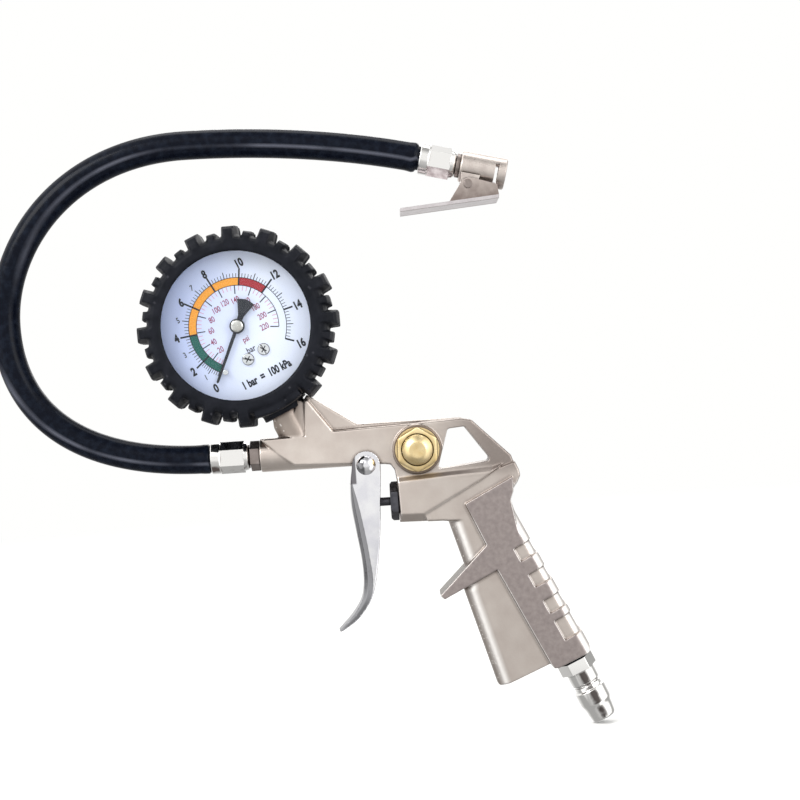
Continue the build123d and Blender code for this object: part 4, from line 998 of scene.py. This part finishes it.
def build_black_print():
    bm = bmesh.new()
    line = 0.16
    zero = bar_angle(0.0)
    add_arc_band(bm, BAND_OUTER - line, BAND_OUTER + line / 2, zero, bar_angle(16.0), INK_FRONT, DIAL_FACE)
    add_arc_band(bm, BAND_INNER - line / 2, BAND_INNER + line, zero, psi_angle(220.0), INK_FRONT, DIAL_FACE)
    for fifth in range(16 * 5 + 1):
        bar = fifth / 5
        angle = bar_angle(bar)
        if fifth % 10 == 0:
            add_tick(bm, angle, BAND_INNER if 0 < bar <= 12 else BAND_OUTER, 22.0, 0.62)
        elif fifth % 5 == 0:
            add_tick(bm, angle, BAND_OUTER, 21.0, 0.3)
        else:
            add_tick(bm, angle, BAND_OUTER, 20.1, 0.21)
    for psi in range(20, 221, 20):
        add_tick(bm, psi_angle(psi), 12.3, BAND_INNER, 0.38)
    for bar, radius in zip(range(0, 17, 2), (24.6, 23.8, 23.5, 23.2, 23.3, 24.1, 24.2, 24.2, 24.8)):
        add_text(bm, str(bar), polar(radius, bar_angle(bar)), 3.0, 0.74, 0.045)
    for bar in (1, 3, 5, 7):
        add_text(bm, str(bar), polar(22.6, bar_angle(bar)), 2.1, 0.72, 0.012)
    add_text(bm, "bar", polar(9.9, -87.0), 2.3, 0.8, 0.01)
    add_text(bm, "1 bar  =  100 kPa", polar(21.0, -86.0), 2.9, 0.69, 0.04)
    # painted shade at the dial screws goes in with the black print
    for angle in SCREW_ANGLES:
        add_screw_print(bm, angle)
    printed("dial_black_print_and_screw_shade", bm, (0.012, 0.013, 0.02))


def build_red_print():
    bm = bmesh.new()
    for psi in range(5, 221, 5):
        if psi % 20:
            add_tick(bm, psi_angle(psi), 13.6, BAND_INNER - 0.1, 0.24)
    printed("dial_ticks_rose", bm, (0.62, 0.30, 0.38))
    bm = bmesh.new()
    for psi in range(20, 221, 20):
        add_text(bm, str(psi), polar(10.8 if psi < 50 else 10.1, psi_angle(psi)), 2.2, 0.7, 0.01)
    add_text(bm, "psi", polar(6.0, -85.0), 2.1, 0.75, 0.01)
    printed("dial_print_rose", bm, (0.30, 0.05, 0.11))


# ---- rivet, brass nut and button
RIVET_SEAT = 8.85
RIVET_HEAD = 3.7
RIVET_CROWN = 11.15
NUT_FACE = 12.95
NUT_FOOT = 8.5
NUT_PAD = 7.55
NUT_FLATS = 14.7
NUT_CORNER = 8.3
NUT_TURN = 58.0                 # direction of one flat
NUT_BORE = 5.85
BUTTON_RADIUS = 5.75
BUTTON_SHOULDER = 14.2
BUTTON_CROWN = 16.9
DISH_RADIUS = 2.7


def hexagon_radius(shrink):
    def radius(turn):
        off_flat = (turn - NUT_TURN + 30.0) % 60.0 - 30.0
        return min(NUT_FLATS / 2 / math.cos(math.radians(off_flat)), NUT_CORNER) - shrink
    return radius


def add_turned(name, bm, sharp, node):
    """Turned part with smooth faces between edges sharper than an angle."""
    mesh = finish_mesh(bm, name, GUN)
    mesh.shade_smooth()
    mesh.set_sharp_from_angle(angle=math.radians(sharp))
    add_piece(name, mesh, node)


def build_rivet():
    bm = bmesh.new()
    head = dome(-RIVET_SEAT - 0.25, -RIVET_CROWN, RIVET_HEAD)[::-1]
    tail = [(-RIVET_SEAT, RIVET_HEAD - 0.1), (-RIVET_SEAT, 2.0), (RIVET_SEAT, 2.0),
            (RIVET_SEAT, 3.1), (RIVET_SEAT + 0.8, 3.1), (RIVET_SEAT + 1.0, 2.8)]
    add_lathe(bm, (PIVOT_X, PIVOT_Z), head + tail)
    add_turned("rivet", bm, 35.0, "trigger_pin")


def build_release_nut():
    bm = bmesh.new()
    pad = [(-NUT_PAD, NUT_BORE), (-NUT_PAD, 8.3), (-NUT_FOOT + 0.1, 8.4), (-NUT_FOOT, NUT_BORE)]
    add_lathe(bm, NUT_CENTRE, pad, closed=True)
    hexagon = [(-NUT_FOOT, hexagon_radius(0.0)), (-NUT_FACE + 0.5, hexagon_radius(0.0)),
               (-NUT_FACE + 0.15, hexagon_radius(0.14)), (-NUT_FACE, hexagon_radius(0.45)),
               (-NUT_FACE, NUT_BORE + 0.35), (-NUT_FACE + 0.3, NUT_BORE), (-NUT_FOOT, NUT_BORE)]
    add_lathe(bm, NUT_CENTRE, hexagon, closed=True)
    add_turned("release_nut", bm, 28.0, "bleed_nut")


def build_release_button():
    """Domed button with a shallow dish at its crown."""
    bm = bmesh.new()
    crown = dome(-BUTTON_SHOULDER, -BUTTON_CROWN, BUTTON_RADIUS, 24)
    rim = [station for station in crown if station[1] > DISH_RADIUS + 0.3]
    lip = rim[-1][0]
    dish = [(lip - 0.06, DISH_RADIUS), (lip - 0.02, 0.8 * DISH_RADIUS), (lip + 0.06, 0.5 * DISH_RADIUS),
            (lip + 0.09, 0.15 * DISH_RADIUS)]
    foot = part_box("bleed_button")[1].y / MM
    add_lathe(bm, NUT_CENTRE, [(foot, BUTTON_RADIUS)] + rim + dish)
    add_turned("release_button", bm, 50.0, "bleed_button")


# ---- machined parts with broken edges
BEVELS = {
    "inlet_plug": 0.22, "gun_hose_ferrule": 0.3, "chuck_hose_ferrule": 0.3, "gland_nut": 0.25,
    "chuck_body": 0.18, "chuck_lever": 0.14, "chuck_pin": 0.12, "gun_hose_nipple": 0.2,
    "chuck_hose_nipple": 0.15, "pointer_cap": 0.08, "dial_screws": 0.08, "stop_pin": 0.12,
    "pointer": 0.06, "socket_screws": 0.1,
}
PLUG_SHOULDER = -10.9           # station on the plug's axis where its streak starts


def own_finishes():
    """Materials of the machined parts that differ from their slot's."""
    plug_axis = next(mount["axis"] for mount in frame["record"]["mounts"] if mount["name"] == "air_inlet")
    return {
        "chuck_lever": pressed_nickel(),
        "chuck_pin": FINISH["dark_nickel"],
        "pointer_cap": plated("hub_nickel", (0.84, 0.81, 0.74), (0.66, 0.62, 0.54), 0.2, shade_corners=False),
        # painted shade: the nipples take the dark nickel to darken the gaps beside their ferrules
        "gun_hose_nipple": FINISH["dark_nickel"],
        "chuck_hose_nipple": FINISH["dark_nickel"],
        # painted reflections: the plug and the two ferrules carry dark streaks along their sides
        "inlet_plug": streaked("plug_nickel", (0.12, 0.105, 0.10), (0.04, -1.0, 0.02), 9.0, 21.0, 0.09,
                               plug_axis, PLUG_SHOULDER),
        "gun_hose_ferrule": streaked("ferrule_nickel", (0.22, 0.18, 0.17), (0.0, -0.72, -0.69),
                                     4.0, 16.0, 0.10),
        "chuck_hose_ferrule": streaked("collar_nickel", (0.30, 0.26, 0.26), (0.0, -0.45, -0.89),
                                       6.0, 22.0, 0.10),
    }


def build_machined():
    """Visible metal parts: own copies of their CAD meshes, with bevelled edges."""
    own_finish = own_finishes()
    for node, width in BEVELS.items():
        add_piece(node + "_edged", bevelled(node, width), node, own_finish.get(node))


def spring_copy(node):
    """Wire of a CAD spring as a piece of its own, in place of the CAD node."""
    mesh = cad_copy(node)
    mesh.shade_smooth()
    wire = add_object(node + "_wire", mesh)
    paint(wire, FINISH[slot_of[node]])
    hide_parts(node)
    return wire


def build_springs():
    """Own copies of the springs' wires: the two valve springs on the gun's body, the chuck's torsion spring where
    it stands.
    """
    for node, joint, axis in (("valve_spring", "valve_slide", 0), ("bleed_spring", "bleed_press", 1)):
        wire = spring_copy(node)
        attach(wire, "gun")
        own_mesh(wire)
    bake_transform(spring_copy("chuck_spring"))


# ---- stage, light and camera
BACKGROUND = (1.0, 1.0, 0.99)
FLOOR_HALF = 6.0                # metres, as are the fade's radii and the lights' places and sizes
FLOOR_FADE = (0.35, 1.2)
FRONT_LEVEL = 0.9              # what the faces turned to the camera reflect
ROOM_LEVEL = 0.38
# soft panels of the studio: direction, cosines where each starts and is full, added level
PANELS = (((-0.75, -0.15, 0.60), 0.66, 0.90, 0.9), ((0.88, -0.30, 0.34), 0.72, 0.93, 1.0),
          ((-0.3, 1.0, 0.35), 0.30, 0.90, 0.6), ((-0.82, -0.55, -0.18), 0.90, 0.975, 0.9),
          ((0.75, -0.45, -0.48), 0.90, 0.98, 0.8), ((-0.35, -0.8, 0.62), 0.92, 0.98, 0.7))
# area lights: name, place from the object's middle, size, power
LIGHTS = (("key", (-0.75, -0.65, 0.75), (0.6, 0.6), 8.5), ("fill", (0.8, -0.75, 0.35), (0.5, 0.7), 3.2),
          ("top", (0.1, 0.25, 1.0), (1.0, 0.4), 3.0), ("rear", (0.2, 1.1, 0.5), (0.8, 0.5), 2.5))


def build_stage(floor_z):
    """Large pale floor that fades into the background."""
    bm = bmesh.new()
    corners = ((-1, -1), (1, -1), (1, 1), (-1, 1))
    bm.faces.new([bm.verts.new((x * FLOOR_HALF, y * FLOOR_HALF, floor_z)) for x, y in corners])
    floor = add_object("floor", to_mesh(bm, "floor"))
    surface = Surface("floor_paper")
    surface.set(Base_Color=rgb(0.9, 0.9, 0.89), Roughness=0.9, Specular_IOR_Level=0.2)
    distance = surface.add("ShaderNodeVectorMath", {"operation": "LENGTH"}, Vector=surface.place)
    share = surface.span(distance.outputs["Value"], *FLOOR_FADE)
    glow = surface.add("ShaderNodeEmission", Color=rgb(*BACKGROUND), Strength=1.0)
    surface.join_shaders(share, surface.shader, glow, surface.output)
    floor.visible_glossy = False
    floor.data.materials.append(surface.material)


def build_world():
    """Pale background to the camera; a studio of soft panels to everything else."""
    world = bpy.data.worlds.new("studio")
    bpy.context.scene.world = world
    world.use_nodes = True
    world.node_tree.nodes.clear()
    graph = Graph(world.node_tree)
    direction = graph.add("ShaderNodeTexCoord").outputs["Generated"]
    axes = graph.axes(direction)
    ahead = graph.span(axes["Y"], -0.45, -0.85)
    lifted = graph.span(axes["Z"], -0.46, -0.16, 0.3, 1.0)
    level = graph.mix(graph.product(ahead, lifted), ROOM_LEVEL, FRONT_LEVEL)
    for heading, start, full, added in PANELS:
        panel = graph.span(graph.toward(direction, heading), start, full, 0.0, added)
        level = graph.math("ADD", level, panel)
    around = graph.add("ShaderNodeBackground", Color=rgb(1.0, 0.995, 0.985), Strength=level)
    shown = graph.add("ShaderNodeBackground", Color=rgb(*BACKGROUND))
    to_camera = graph.add("ShaderNodeLightPath").outputs["Is Camera Ray"]
    graph.join_shaders(to_camera, around, shown, graph.add("ShaderNodeOutputWorld").inputs["Surface"])


def build_lights(middle):
    for name, offset, size, power in LIGHTS:
        data = bpy.data.lights.new(name, "AREA")
        data.shape = "RECTANGLE"
        data.size, data.size_y = size
        data.energy = power
        light = add_object(name, data)
        light.location = middle + Vector(offset)
        light.rotation_euler = (middle - light.location).to_track_quat("-Z", "Y").to_euler()


VIEW_X = 54.8                   # gun-frame point at the middle of the picture
VIEW_Z = 17.8
VIEW_DISTANCE = 0.56
VIEW_ROLL = 3.8                 # degrees; the barrel rises to the right
PICTURE_WIDTH = 0.308           # width seen at the object's middle plane
SENSOR = 36.0                   # millimetres, as the lens is; the distances above are metres


def build_camera():
    data = bpy.data.cameras.new("camera")
    data.sensor_width = SENSOR
    data.lens = SENSOR * VIEW_DISTANCE / PICTURE_WIDTH
    data.clip_start = 0.05
    camera = add_object("camera", data)
    aim = GUN @ Vector((VIEW_X, 0.0, VIEW_Z))
    level = Matrix.Rotation(math.radians(90.0), 4, "X")
    roll = Matrix.Rotation(math.radians(-VIEW_ROLL), 4, "Z")
    camera.matrix_world = Matrix.Translation(aim - Vector((0.0, VIEW_DISTANCE, 0.0))) @ level @ roll
    bpy.context.scene.camera = camera


finish_cad_nodes()
build_casting()
build_trigger()
build_hose()
build_boot()
build_bands()
build_black_print()
build_red_print()
build_rivet()
build_release_nut()
build_release_button()
build_machined()
build_springs()
build_stage(cad_box[0].z - 0.5 * MM)
build_world()
build_lights((cad_box[0] + cad_box[1]) / 2)
build_camera()
bpy.context.scene.view_settings.view_transform = "Standard"
